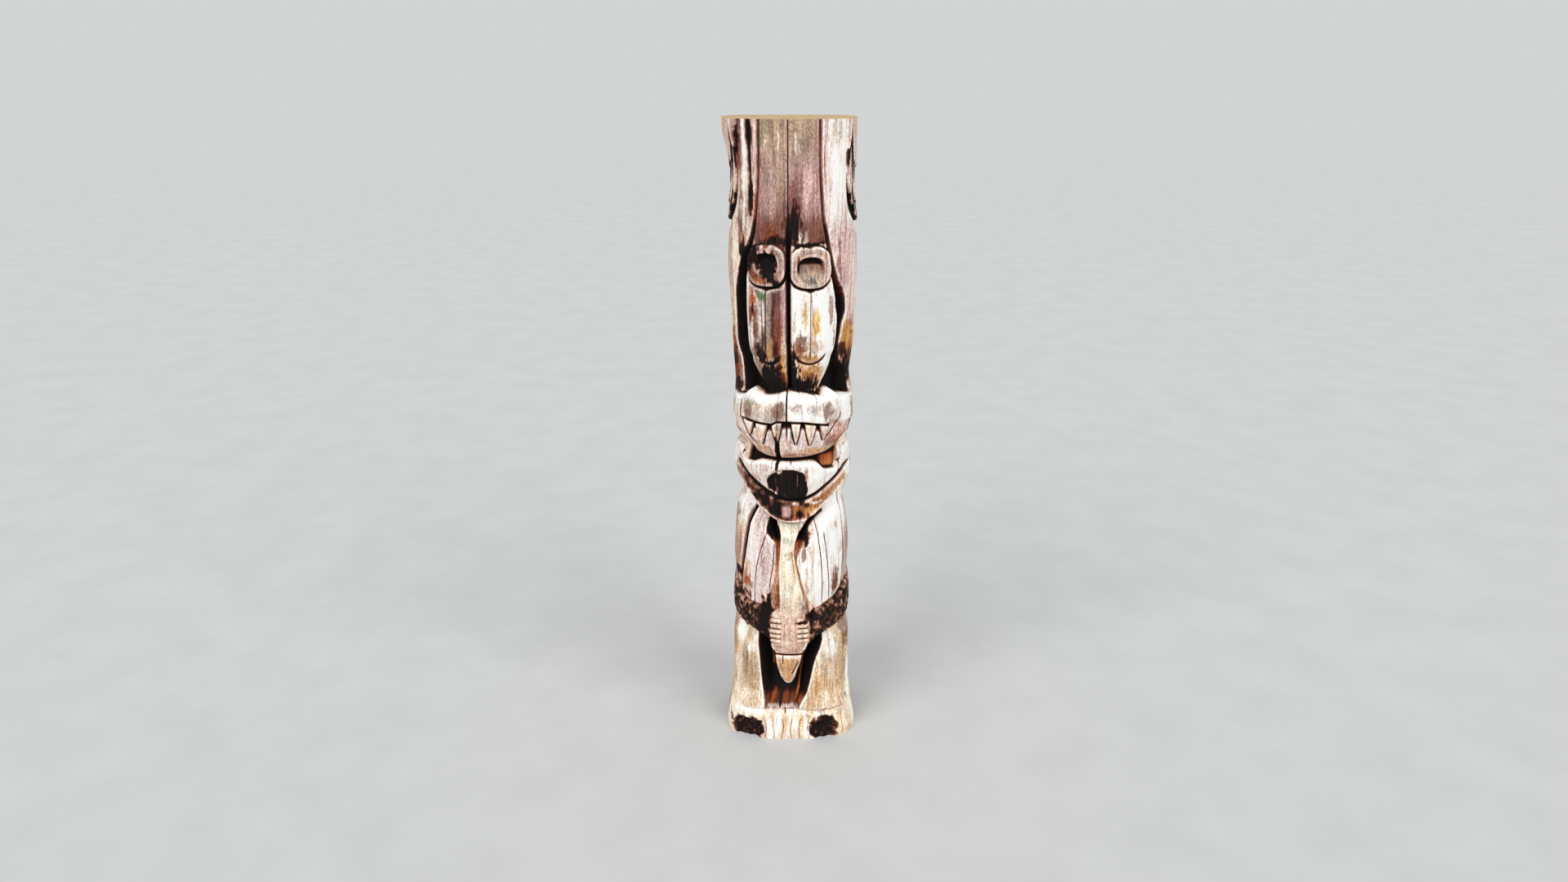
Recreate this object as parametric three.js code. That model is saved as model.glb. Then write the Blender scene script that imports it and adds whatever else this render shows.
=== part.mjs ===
// The lower length of a cedar totem pole, carved from one log and cut off flat at both ends.
// Units are millimetres. +Z is up, the ground is z = 0, and the carved front faces -Y.
// Sizes given as x are seen from the front, with the viewer's right positive.
import * as THREE from "three";

// Driving dimensions
const HEIGHT = 3500;
const HALF_WIDTH = 338;
const FRONT_DEPTH = 305;
const ARC_RADIUS = 330;
const MOST_TRIANGLES = 9600;

// Small functions that the carving is made of
const clamp = (v) => Math.min(1, Math.max(0, v));
const mix = (a, b, share) => a + (b - a) * share;
const ease = (from, to, v) => {
  const t = clamp((v - from) / (to - from));
  return t * t * (3 - 2 * t);
};
const within = (low, high, soft, v) => ease(low - soft, low + soft, v) * ease(high + soft, high - soft, v);
const dome = (low, high, v) => Math.sqrt(clamp(1 - ((2 * v - low - high) / (high - low)) ** 2));
const groove = (offset, halfWidth, depth) => -depth * Math.exp(-((offset / halfWidth) ** 2));

// Arc length round the log, from the front's middle, of a point that is seen at x.
const across = (x) =>
  ARC_RADIUS * Math.atan2(x, FRONT_DEPTH * Math.sqrt(Math.max(0, 1 - (x / HALF_WIDTH) ** 2)));

// A smooth curve through [at, value] points that never swings past them.
function curve(...points) {
  points.sort((a, b) => a[0] - b[0]);
  const slopes = points.slice(1).map((p, k) => (p[1] - points[k][1]) / (p[0] - points[k][0]));
  const tangents = points.map((_, k) => {
    const before = slopes[k - 1] ?? 0;
    const after = slopes[k] ?? 0;
    return before * after <= 0 ? 0 : (2 * before * after) / (before + after);
  });
  return (at) => {
    const v = Math.min(points.at(-1)[0], Math.max(points[0][0], at));
    let k = 0;
    while (k < slopes.length - 1 && v > points[k + 1][0]) k += 1;
    const span = points[k + 1][0] - points[k][0];
    const t = (v - points[k][0]) / span;
    const s = 1 - t;
    return (
      points[k][1] * s * s * (1 + 2 * t) +
      points[k + 1][1] * t * t * (1 + 2 * s) +
      span * t * s * (tangents[k] * s - tangents[k + 1] * t)
    );
  };
}

// A line that runs up the pole, from [height, x] points: gives arc length by height.
const upright = (...points) => curve(...points.map(([z, x]) => [z, across(x)]));
// A line that runs round the pole, from [x, height] points: gives height by arc length.
const around = (...points) => curve(...points.map(([x, z]) => [across(x), z]));

// The log's outline under the carving
const leftWidth = curve(
  [3500, 364], [3420, 357], [3350, 342], [3250, 331], [3020, 331], [2750, 338], [2600, 330],
  [2400, 322], [2300, 318], [2135, 308], [2060, 314], [1930, 311], [1860, 312], [1793, 286],
  [1740, 312], [1670, 321], [1600, 310], [1550, 299], [1477, 268], [1437, 288], [1396, 304],
  [1320, 316], [1090, 330], [960, 322], [740, 322], [690, 326], [600, 338], [300, 347], [180, 355],
  [0, 383],
);
const rightWidth = curve(
  [3500, 328], [3300, 328], [3100, 328], [2900, 335], [2700, 338], [2500, 336], [2370, 331],
  [2280, 317], [2190, 307], [2130, 314], [2070, 326], [2000, 320], [1930, 326], [1850, 318],
  [1793, 304], [1740, 320], [1620, 330], [1560, 320], [1440, 283], [1396, 294], [1300, 312],
  [1150, 326], [960, 318], [740, 318], [680, 320], [620, 334], [300, 341], [180, 349], [0, 377],
);
const frontDepth = curve(
  [3500, 300], [2300, 300], [1950, 306], [1500, 292], [1200, 290], [800, 300], [190, 298], [0, 314],
);
const backDepth = curve([3500, 246], [1800, 262], [0, 282]);
const frontSquareness = curve([3500, 2.15], [300, 2.15], [160, 3.3], [0, 3.4]);
const BACK_SQUARENESS = 2.7;

function logRadius(angle, z) {
  const s = Math.abs(Math.sin(angle)) / (angle < 0 ? leftWidth(z) : rightWidth(z));
  const c = Math.cos(angle);
  const power = c > 0 ? frontSquareness(z) : BACK_SQUARENESS;
  return (s ** power + (Math.abs(c) / (c > 0 ? frontDepth(z) : backDepth(z))) ** power) ** (-1 / power);
}

// The wings of a figure further up, whose feather tips hang down both sides. v runs round each side
// from the front's middle, and the left wing starts a little further round than the right one.
const LEFT_WING_SHIFT = 26;
const WING_STEP = 6;
const WING_UNDERCUT = 12;
const FEATHER_STEP = 8;
const FEATHER_PITCH = 70;
const FEATHER_START = 322;
const FEATHER_TIP = 165;
const wingBottom = curve(
  [294, 3560], [302, 3240], [314, 3162], [342, 3108], [394, 3050], [450, 3006], [530, 2978],
  [610, 3000], [680, 3080], [735, 3230], [765, 3560],
);
const tipHeight = curve([300, 3150], [350, 3112], [450, 3075], [540, 3070], [640, 3130], [740, 3330]);
// Heights of the two rows of feather tips over the line of the lower row
const FEATHER_ROWS = [{ lift: 0, shift: 0.5 }, { lift: 178, shift: 0 }];

function wing(u, z) {
  const v = Math.abs(u) - (u < 0 ? LEFT_WING_SHIFT : 0);
  const inWing = z - wingBottom(v);
  const inSides = ease(-6, 8, inWing);
  let h = WING_STEP * inSides - WING_UNDERCUT * ease(-26, -8, inWing) * (1 - inSides);
  for (const { lift, shift } of FEATHER_ROWS) {
    const place = (v - FEATHER_START) / FEATHER_PITCH + shift;
    const fromShaft = Math.abs(2 * (place - Math.floor(place)) - 1);
    const inFeather = z - tipHeight(v) - lift - FEATHER_TIP * fromShaft ** 1.7;
    h += FEATHER_STEP * ease(-2, 9, inFeather) * inSides;
  }
  return h;
}

// The upper body: a plain panel that turns into two long lobes under eye-like discs
const bodyLeft = upright(
  [3500, -168], [3300, -171], [3100, -181], [2950, -197], [2870, -214], [2760, -236], [2600, -241],
  [2400, -235], [2300, -222], [2210, -200], [2130, -170], [2110, -164],
);
const bodyRight = upright(
  [3500, 131], [3300, 133], [3050, 148], [2870, 178], [2780, 191], [2700, 205], [2600, 222],
  [2500, 230], [2400, 226], [2300, 210], [2200, 197], [2110, 185],
);
const rollLeft = upright(
  [3500, -174], [3300, -178], [3100, -188], [2950, -208], [2860, -240], [2750, -271], [2600, -290],
  [2400, -290], [2330, -278], [2290, -263], [2200, -257], [2110, -255],
);
const rollRight = upright(
  [3500, 138], [3300, 140], [3050, 156], [2870, 188], [2780, 206], [2700, 228], [2600, 262],
  [2540, 264], [2480, 249], [2420, 238], [2330, 228], [2280, 242], [2215, 290], [2110, 302],
);
const bodySplit = upright([3500, -28], [2700, -24], [2110, -18]);
const trenchDepth = curve(
  [3500, 10], [2930, 14], [2860, 26], [2780, 52], [2650, 72], [2300, 74], [2110, 84],
);
const lobeLevel = curve([2880, -10], [2700, -8], [2400, -6], [2290, -10], [2210, -32], [2130, -66]);
const splitDepth = curve([3500, 5], [3000, 7], [2930, 22], [2860, 44], [2110, 46]);
const splitHalfWidth = curve([3500, 4], [3010, 5], [2930, 17], [2850, 14], [2110, 12]);

// One entry for each lobe, with its disc, the hollow in the disc and the nail-shaped end below
const LOBES = [
  {
    outer: bodyLeft,
    disc: [-135, 2789, 97, 105],
    hollow: [-131, 2794, 58, 62],
    nail: [-124, 2352, 68, 80],
    crease: -137,
  },
  {
    outer: bodyRight,
    disc: [89, 2782, 101, 106],
    hollow: [91, 2766, 70, 70],
    nail: [91, 2352, 86, 80],
    crease: 90,
  },
];

// How far inside an oval a point is, in mm; [x, z, half width, half height].
function insideOval(u, z, [x, height, halfWidth, halfHeight], power = 2.5) {
  const du = Math.abs(u - across(x)) / (across(x + halfWidth) - across(x));
  const dz = Math.abs(z - height) / halfHeight;
  return (1 - (du ** power + dz ** power) ** (1 / power)) * Math.min(halfWidth, halfHeight);
}

const LOBE_CROWN = 20;
const NAIL_STEP = 6;
const DISC_LEVEL = 8;
const DISC_CROWN = 8;
const PANEL_LEVEL = -9;
const PANEL_CROWN = 10;

const panelLevel = (u, z) => PANEL_LEVEL + PANEL_CROWN * dome(bodyLeft(z), bodyRight(z), u);

function lobe(u, z, { outer, disc, hollow, nail, crease }) {
  const edges = [outer(z), bodySplit(z)];
  let h = lobeLevel(z) + LOBE_CROWN * dome(Math.min(...edges), Math.max(...edges), u);
  h = mix(h, panelLevel(u, z), ease(disc[1], disc[1] + 0.9 * disc[3], z));

  // The nail's rounded end, and the crease down the lobe
  const inNail = insideOval(u, z, nail, 2);
  const onEnd = ease(nail[1] - 10, nail[1] - 45, z);
  h += (groove(inNail - 3, 5, 6) - NAIL_STEP * ease(3, -3, inNail)) * onEnd;
  h += groove(u - across(crease), 5, 6) * within(2300, 2660, 12, z);

  // The disc over it, and the hollow that is deepest at its top
  const inDisc = insideOval(u, z, disc, 2.6);
  h += groove(inDisc + 6, 8, mix(15, 6, ease(disc[1], disc[1] + 60, z)));
  h += groove(Math.hypot(u - across(crease), (z - disc[1] + disc[3] + 12) * 0.9), 15, 10);
  const crown = DISC_CROWN * dome(across(disc[0] - disc[2]), across(disc[0] + disc[2]), u);
  h = mix(h, DISC_LEVEL + crown, ease(-2, 7, inDisc));
  const up = clamp((z - hollow[1] + hollow[3]) / (2 * hollow[3]));
  return h - (4 + 40 * up ** 1.3) * ease(-2, 12, insideOval(u, z, hollow, 2.4));
}

// The rolls on either side of it, the left one fluted at the top
const ROLL_LEVEL = 2;
const ROLL_CROWNS = [6, 12];
const ROLL_LOW_CROWN = 8;
const ROLL_END = 640;
const FLUTE = -217;

function upperBody(u, z) {
  const floor = -trenchDepth(z);
  let body = mix(lobe(u, z, LOBES[u < bodySplit(z) ? 0 : 1]), panelLevel(u, z), ease(2886, 2910, z));
  body += groove(u - bodySplit(z), splitHalfWidth(z), splitDepth(z));
  const rollStart = Math.abs(u < 0 ? rollLeft(z) : rollRight(z));
  const highCrown = ROLL_CROWNS[u < 0 ? 0 : 1] * dome(rollStart, across(320), Math.abs(u));
  const lowCrown = ROLL_LOW_CROWN * dome(rollStart, ROLL_END, Math.abs(u));
  let roll = ROLL_LEVEL + mix(lowCrown, highCrown, ease(2700, 3000, z));
  roll += groove(u - across(FLUTE), 15, 20) * ease(2980, 3160, z);
  const inBody = Math.min(u - bodyLeft(z), bodyRight(z) - u);
  const inRoll = Math.abs(u) - rollStart;
  return floor + (body - floor) * ease(-3, 9, inBody) + (roll - floor) * ease(-3, 13, inRoll);
}

// Both heads are carved about a line a little left of the log's middle
const HEAD_MIDDLE = -25;

// The muzzle: a thick upper lip, pointed teeth and the lower lip behind them
const muzzleTop = around(
  [-338, 2074], [-270, 2094], [-228, 2132], [-150, 2106], [-30, 2128], [60, 2122], [150, 2104],
  [197, 2138], [260, 2096], [338, 2076],
);
const toothLine = around([-268, 1957], [-110, 1949], [-75, 1966], [45, 1962], [125, 1948], [185, 1938]);
const muzzleBottom = around(
  [-338, 1846], [-290, 1832], [-250, 1796], [-200, 1764], [-150, 1748], [-60, 1742], [60, 1746],
  [120, 1752], [190, 1766], [250, 1786], [290, 1828], [338, 1848],
);
const lipFace = curve([-6, -62], [18, 4], [46, 21], [100, 27], [160, 22], [200, 12]);
const lowerLip = curve(
  [-4, -62], [6, -30], [24, -12], [60, 2], [110, 10], [150, 13], [220, 13],
);
const mouthLeft = upright([2085, -262], [1960, -269], [1900, -249], [1860, -226], [1820, -190]);
const mouthRight = upright([2000, 243], [1935, 217], [1885, 184], [1850, 160]);
// Each tooth is [x, height of its point, half width at the lip].
const TEETH = [
  [-222, 1868, 30], [-158, 1826, 36], [-80, 1838, 31], [17, 1834, 29], [90, 1826, 34], [158, 1852, 27],
];
const GAP_ABOVE_TIP = 52;
const TOOTH_RISE = 12;
const GAP_DEPTH = 12;

function teeth(u, z) {
  let rise = 0;
  let covered = 0;
  for (const [x, tip, halfWidth] of TEETH) {
    const up = clamp((z - tip) / (toothLine(u) - tip));
    const inTooth = halfWidth * up ** 0.8 - Math.abs(u - across(x));
    rise = Math.max(rise, (z > tip ? 1 : 0) * ease(-1, 8, inTooth));
    covered = Math.min(covered, groove(inTooth + 5, 5, 8) * ease(tip - 8, tip + 8, z));
  }
  const gap = -GAP_DEPTH * ease(toothLine(u) - GAP_ABOVE_TIP, toothLine(u) - 12, z) * (1 - rise);
  return TOOTH_RISE * rise + covered + gap * within(across(-236), across(172), 10, u);
}

function muzzle(u, z) {
  const below = muzzleTop(u) - z;
  const lip = lipFace(below);
  const underLip = lowerLip(z - muzzleBottom(u)) + teeth(u, z);
  const inMouth = within(mouthLeft(z), mouthRight(z), 5, u) * ease(toothLine(u) + 3, toothLine(u) - 3, z);
  const cheek = Math.min(lip, lowerLip(z - muzzleBottom(u)) + 6);
  let h = mix(z > toothLine(u) ? lip : cheek, underLip, inMouth);
  h += groove(z - toothLine(u), 6, 12) * within(across(-266), across(188), 8, u);
  h += groove(u - mouthLeft(z), 6, 12) * within(1830, 2080, 20, z);
  h += groove(u - mouthRight(z), 6, 14) * within(1860, 1990, 20, z);
  h += groove(u - across(-30), 6, 12) * ease(1800, 1960, z);
  return h + groove(u - across(-80), 11, 26) * ease(1850, 1815, z);
}

// The second head under the muzzle: a broad snout with a hollow nose, over a V-shaped jaw
const headTop = around(
  [-338, 1776], [-300, 1774], [-284, 1764], [-262, 1722], [-240, 1716], [-168, 1738], [-80, 1736],
  [100, 1737], [134, 1730], [160, 1706], [182, 1682], [250, 1672], [272, 1735], [296, 1772],
  [338, 1776],
);
const mouthLine = around(
  [-338, 1668], [-300, 1652], [-250, 1612], [-150, 1548], [-100, 1524], [-30, 1508], [40, 1507],
  [120, 1530], [200, 1580], [300, 1642], [338, 1662],
);
const jawLine = around(
  [-338, 1592], [-290, 1543], [-200, 1452], [-150, 1425], [-70, 1382], [0, 1373], [60, 1378],
  [100, 1400], [200, 1470], [290, 1545], [338, 1594],
);
const NOSE_HOLLOW = [-32, 1600, 110, 96];
const NOSE_DEPTH = 26;
const SNOUT_START = -44;
const SNOUT_LEVEL = -8;
const SNOUT_CROWN = 22;
const LIP_SLOPE = 14;
const JAW_LEVEL = -13;
const JAW_CROWN = 12;
const JAW_RIM = 11;

function secondHead(u, z) {
  const fromTop = headTop(u) - z;
  const spread = 1 - clamp(Math.abs(u - HEAD_MIDDLE) / 400) ** 2;
  let h = mix(SNOUT_START, SNOUT_LEVEL + SNOUT_CROWN * spread, ease(-3, 16, fromTop));
  h -= LIP_SLOPE * ease(mouthLine(u) + 110, mouthLine(u), z);
  h -= NOSE_DEPTH * ease(-4, 26, insideOval(u, z, NOSE_HOLLOW, 2.6)) * ease(1510, 1600, z);
  h += groove(u - across(-284), 7, 14) * within(1730, 1800, 10, z);
  h += groove(u - across(268), 7, 24) * within(1645, 1750, 10, z);
  const chin = 5 * dome(across(-64), across(-2), u) * within(1398, 1478, 12, z);
  const jaw = JAW_LEVEL + JAW_CROWN * spread + chin;
  h = mix(h, jaw, ease(mouthLine(u) + 4, mouthLine(u) - 4, z));
  h += groove(z - mouthLine(u), u < across(-100) ? 19 : 13, 28);
  return h + JAW_RIM * Math.exp(-(((z - jawLine(u) - 12) / 14) ** 2));
}

// The body: a slim chest between two folded wings, with an upper arm down the left side
const chestLeft = upright(
  [1410, -98], [1373, -86], [1330, -77], [1265, -71], [1200, -74], [1100, -82], [1000, -78], [830, -76],
);
const chestRight = upright(
  [1410, 104], [1373, 84], [1330, 50], [1290, 36], [1240, 20], [1190, 14], [1100, 28], [1000, 48],
  [900, 70], [830, 86],
);
const wingLeft = upright(
  [1420, -118], [1390, -138], [1330, -149], [1300, -142], [1275, -120], [1245, -98], [1150, -94],
  [1050, -98], [1000, -106], [940, -130], [880, -152], [830, -178],
);
const wingRight = upright(
  [1420, 190], [1390, 148], [1340, 100], [1285, 76], [1225, 56], [1180, 36], [1140, 26],
  [1060, 43], [1000, 57], [940, 76], [880, 102], [820, 140],
);
const armLine = upright([1490, -218], [1400, -236], [1300, -252], [1200, -263], [1000, -288], [880, -304]);
const holeDepth = curve(
  [1430, 52], [1385, 95], [1300, 90], [1235, 34], [1180, 18], [1050, 15], [830, 22],
);
// Thin lines cut in the folded wings, with the heights between which they show
const FEATHER_LINES = [
  {
    line: upright([1310, -148], [1200, -175], [1100, -195], [1000, -205], [830, -218]),
    low: 850,
    high: 1330,
  },
  { line: upright([1260, -103], [1100, -113], [950, -130]), low: 960, high: 1240 },
  {
    line: upright([1370, 139], [1300, 145], [1150, 161], [1000, 170], [860, 174]),
    low: 870,
    high: 1390,
  },
  { line: upright([1310, 178], [1200, 190], [1050, 203], [880, 214]), low: 890, high: 1300 },
];

const CHEST_LEVEL = -14;
const CHEST_CROWN = 13;
const FOLDED_WING_LEVEL = -6;
const FOLDED_WING_CROWN = 17;
const LAP_DROP = 14;
const UNDER_JAW = 34;

function body(u, z) {
  const left = wingLeft(z);
  const right = wingRight(z);
  const floor = -holeDepth(z);
  const chest = CHEST_LEVEL + CHEST_CROWN * dome(chestLeft(z), chestRight(z), u);
  const sideStart = Math.min(Math.abs(u < 0 ? left : right), 300);
  let sides = FOLDED_WING_LEVEL + FOLDED_WING_CROWN * dome(sideStart, 420, Math.min(Math.abs(u), 400));
  sides -= LAP_DROP * ease(1020, 860, z);
  for (const { line, low, high } of FEATHER_LINES) {
    sides += groove(u - line(z), 4, 6) * within(low, high, 20, z);
  }
  sides += groove(u - armLine(z), 14, 34) * ease(860, 920, z);
  sides += groove(u - across(293), 14, 9) * ease(900, 980, z);
  const inChest = Math.min(u - chestLeft(z), chestRight(z) - u);
  const inSides = Math.max(left - u, u - right);
  const h = floor + (chest - floor) * ease(-4, 10, inChest) + (sides - floor) * ease(-2, 10, inSides);
  const belowJaw = jawLine(u) - z;
  return h - UNDER_JAW * ease(150, 0, belowJaw) * ease(-10, 4, belowJaw);
}

// Forearms that come round from the sides, and the fingers laid on the middle piece
const ARMS = [
  {
    top: around([-338, 950], [-310, 938], [-290, 897], [-250, 862], [-150, 845], [-118, 822]),
    bottom: around([-338, 736], [-290, 722], [-246, 710], [-200, 692], [-150, 668], [-118, 650]),
    ends: [-900, across(-112)],
  },
  {
    top: around([92, 766], [145, 828], [196, 866], [250, 893], [295, 944], [338, 966]),
    bottom: around([92, 628], [126, 656], [177, 680], [213, 696], [250, 708], [338, 736]),
    ends: [across(88), 900],
  },
];

// How far a point is up on an arm's rounded top, from 0 off it to 1 on its middle
function arms(u, z) {
  return ARMS.reduce((most, { top, bottom, ends }) => {
    const inArm = Math.min(top(u) - z, z - bottom(u));
    const edge = ease(-4, 14, inArm) * within(ends[0], ends[1], 8, u);
    return Math.max(most, edge * (0.4 + 0.6 * dome(bottom(u), top(u), z)));
  }, 0);
}

const FINGER_PITCH = 31;
const FINGERS = [{ low: -118, high: -58, top: 790 }, { low: 28, high: 88, top: 794 }];
const FINGER_COUNT = 5;
const FINGER_RELIEF = 12;
const FINGER_LEVEL = -6;

// The middle piece: a long face whose chin hangs between the legs
const faceLeft = upright(
  [860, -78], [800, -122], [700, -129], [640, -126], [600, -117], [560, -99], [500, -93],
  [450, -80], [400, -62], [366, -42], [352, -28],
);
const faceRight = upright(
  [860, 88], [800, 100], [700, 98], [640, 95], [600, 86], [560, 64], [500, 53], [450, 38],
  [400, 17], [366, 0], [352, -14],
);
const faceLevel = curve(
  [860, -6], [780, 4], [690, 16], [600, 10], [570, 3], [548, 11], [500, 6], [420, -8], [350, -26],
);
const FACE_BOTTOM = 348;
const CREASE_HEIGHT = 561;

// The legs, and the deep cavity between them
const cavityLeft = upright([720, -206], [650, -190], [500, -177], [400, -170], [300, -160], [190, -146]);
const cavityRight = upright(
  [720, 186], [650, 172], [600, 161], [550, 145], [500, 127], [400, 107], [300, 85], [190, 42],
);
const cavityDepth = curve(
  [720, 74], [640, 100], [500, 114], [390, 106], [300, 78], [230, 42], [186, 10],
);

const LEG_LEVEL = -2;
const LEG_CROWN = 14;
const LEG_BACK = 620;
const KNEE_DROP = 20;
const LEDGE = 26;

function legs(u, z) {
  const inLeg = Math.max(cavityLeft(z) - u, u - cavityRight(z));
  const edge = u < 0 ? Math.abs(cavityLeft(z)) : cavityRight(z);
  const leg = LEG_LEVEL + LEG_CROWN * dome(edge, LEG_BACK, Math.abs(u)) - KNEE_DROP * ease(610, 700, z);
  let floor = -cavityDepth(z);
  floor += LEDGE * Math.exp(-(((u - cavityLeft(z) - 34) / 12) ** 2)) * within(430, 590, 20, z);
  floor += LEDGE * Math.exp(-(((u - cavityRight(z) + 36) / 12) ** 2)) * within(230, 560, 30, z);
  return mix(floor, leg, ease(-6, 16, inLeg));
}

const ARM_LEVEL = -4;
const ARM_RISE = 32;
const FACE_CROWN = 10;

function lowerBody(u, z) {
  let h = mix(legs(u, z), body(u, z), ease(700, 760, z));
  const onArm = arms(u, z);
  h = mix(h, ARM_LEVEL + ARM_RISE * onArm, ease(0, 0.3, onArm));
  const inFace = Math.min(u - faceLeft(z), faceRight(z) - u, 1.4 * (z - FACE_BOTTOM));
  let face = faceLevel(z) + FACE_CROWN * dome(faceLeft(z), faceRight(z), u);
  face += groove(z - CREASE_HEIGHT, 4, 9) + groove(u - across(-50), 4, 6) * within(500, 556, 8, z);
  face += groove(u - across(18) - (z - 470) * 0.45, 5, 6) * within(425, 515, 8, z);
  h = mix(h, face, ease(-3, 12, inFace) * ease(850, 810, z));
  for (const { low, high, top } of FINGERS) {
    const along = clamp((top - z) / (FINGER_PITCH * FINGER_COUNT));
    const knuckles = Math.abs(Math.sin((Math.PI * (top - z)) / FINGER_PITCH));
    const inFinger = within(across(low), across(high), 6, u) * within(0.01, 0.99, 0.01, along);
    h += (FINGER_LEVEL + FINGER_RELIEF * Math.sqrt(knuckles)) * inFinger;
  }
  return h;
}

// The foot: a block with a flat front, toes and two rotted hollows at its corners
const FOOT_TOP = 184;
const TOES = [-152, -106, -52, -4, 46, 96];
const ROT = [[-258, 50, 104, 92], [190, 60, 98, 84]];

const FOOT_LEVEL = 6;
const FOOT_BEVEL = 10;
const ROT_DEPTH = 30;

function foot(u, z, x) {
  let h = FOOT_LEVEL - FOOT_BEVEL * ease(150, FOOT_TOP, z);
  for (const toe of TOES) h += groove(x - toe, 5, 6) * ease(150, 110, z);
  for (const [centre, height, halfWidth, halfHeight] of ROT) {
    const inside = 1 - Math.hypot((x - centre) / halfWidth, (z - height) / halfHeight);
    h -= ROT_DEPTH * ease(0, 0.5, inside) * ease(480, 420, Math.abs(u));
  }
  return h;
}

// The whole carving: height over the plain log, in mm. It fades out towards the plain back, where
// only the arms and the wings go on for a while.
const FRONT_START = 380;
const FRONT_END = 520;
const SIDE_ARM = 12;
// The gap between the two heads, in its middle and towards the plain strips on either side of it
const GAP_MIDDLE = -84;
const GAP_SIDES = -42;
const SIDE_STRIP = -10;

function carving(u, z, x) {
  let h = upperBody(u, z);
  h = mix(h, muzzle(u, z), ease(6, -3, z - muzzleTop(u)));
  const gapFloor = mix(GAP_MIDDLE, GAP_SIDES, ease(120, 240, Math.abs(u - HEAD_MIDDLE)));
  const inGap = within(across(-250), across(262), 8, u);
  h = mix(h, mix(SIDE_STRIP, gapFloor, inGap), ease(4, -4, z - muzzleBottom(u)));
  h = mix(h, secondHead(u, z), ease(4, -4, z - headTop(u)));
  h = mix(h, lowerBody(u, z), ease(4, -4, z - jawLine(u)));
  h = mix(h, foot(u, z, x), ease(5, -5, z - FOOT_TOP));
  const front = ease(FRONT_END, FRONT_START, Math.abs(u));
  return h * front + SIDE_ARM * arms(u, z) * (1 - front) * ease(660, 560, Math.abs(u)) + wing(u, z);
}

// The surface at an angle from the front and a height, with one long drying check down the back
const BACK_CHECK = 905;
const CHECK_HALF_WIDTH = 9;
const CHECK_DEPTH = 26;

function surfacePoint(angle, z) {
  const u = ARC_RADIUS * angle;
  const wings = (WING_STEP + 2 * FEATHER_STEP) * ease(280, 420, Math.abs(u)) * ease(2990, 3190, z);
  const radius = logRadius(angle, z) - wings;
  const check = groove(u - BACK_CHECK, CHECK_HALF_WIDTH, CHECK_DEPTH) * within(350, 2800, 250, z);
  const r = radius + carving(u, z, radius * Math.sin(angle)) + check;
  return [r * Math.sin(angle), -r * Math.cos(angle), z];
}

// A fine grid over the surface: columns run round from the back, closest together at the front.
const COLUMNS = 288;
const ROWS = 520;
const columnAngle = (i) => {
  const t = (2 * i) / COLUMNS - 1;
  return Math.PI * (0.6 * t + 0.4 * t ** 3);
};
const vertex = (i, j) => ((i + COLUMNS) % COLUMNS) + COLUMNS * j;
const points = [];
for (let j = 0; j <= ROWS; j += 1) {
  for (let i = 0; i < COLUMNS; i += 1) points.push(surfacePoint(columnAngle(i), (HEIGHT * j) / ROWS));
}
const gridFaces = [];
for (let j = 0; j < ROWS; j += 1) {
  for (let i = 0; i < COLUMNS; i += 1) {
    const [a, b, c, d] = [vertex(i, j), vertex(i + 1, j), vertex(i + 1, j + 1), vertex(i, j + 1)];
    gridFaces.push(...((i + j) % 2 ? [[a, b, c], [a, c, d]] : [[a, b, d], [b, c, d]]));
  }
}

// The faces of the grid, thinned out where the surface is nearly flat. A vertex is dropped by moving
// its faces on to a neighbour, if that takes them less than the tolerance away from the fine surface.
// Each point carries the sum of its faces' squared plane equations, which measures that distance.
const TERMS = [[0, 0], [0, 1], [0, 2], [0, 3], [1, 1], [1, 2], [1, 3], [2, 2], [2, 3], [3, 3]];
const TOLERANCE_START = 1;
const TOLERANCE_GROWTH = 1.35;
const LENGTH_COST = 1e-4;

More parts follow.
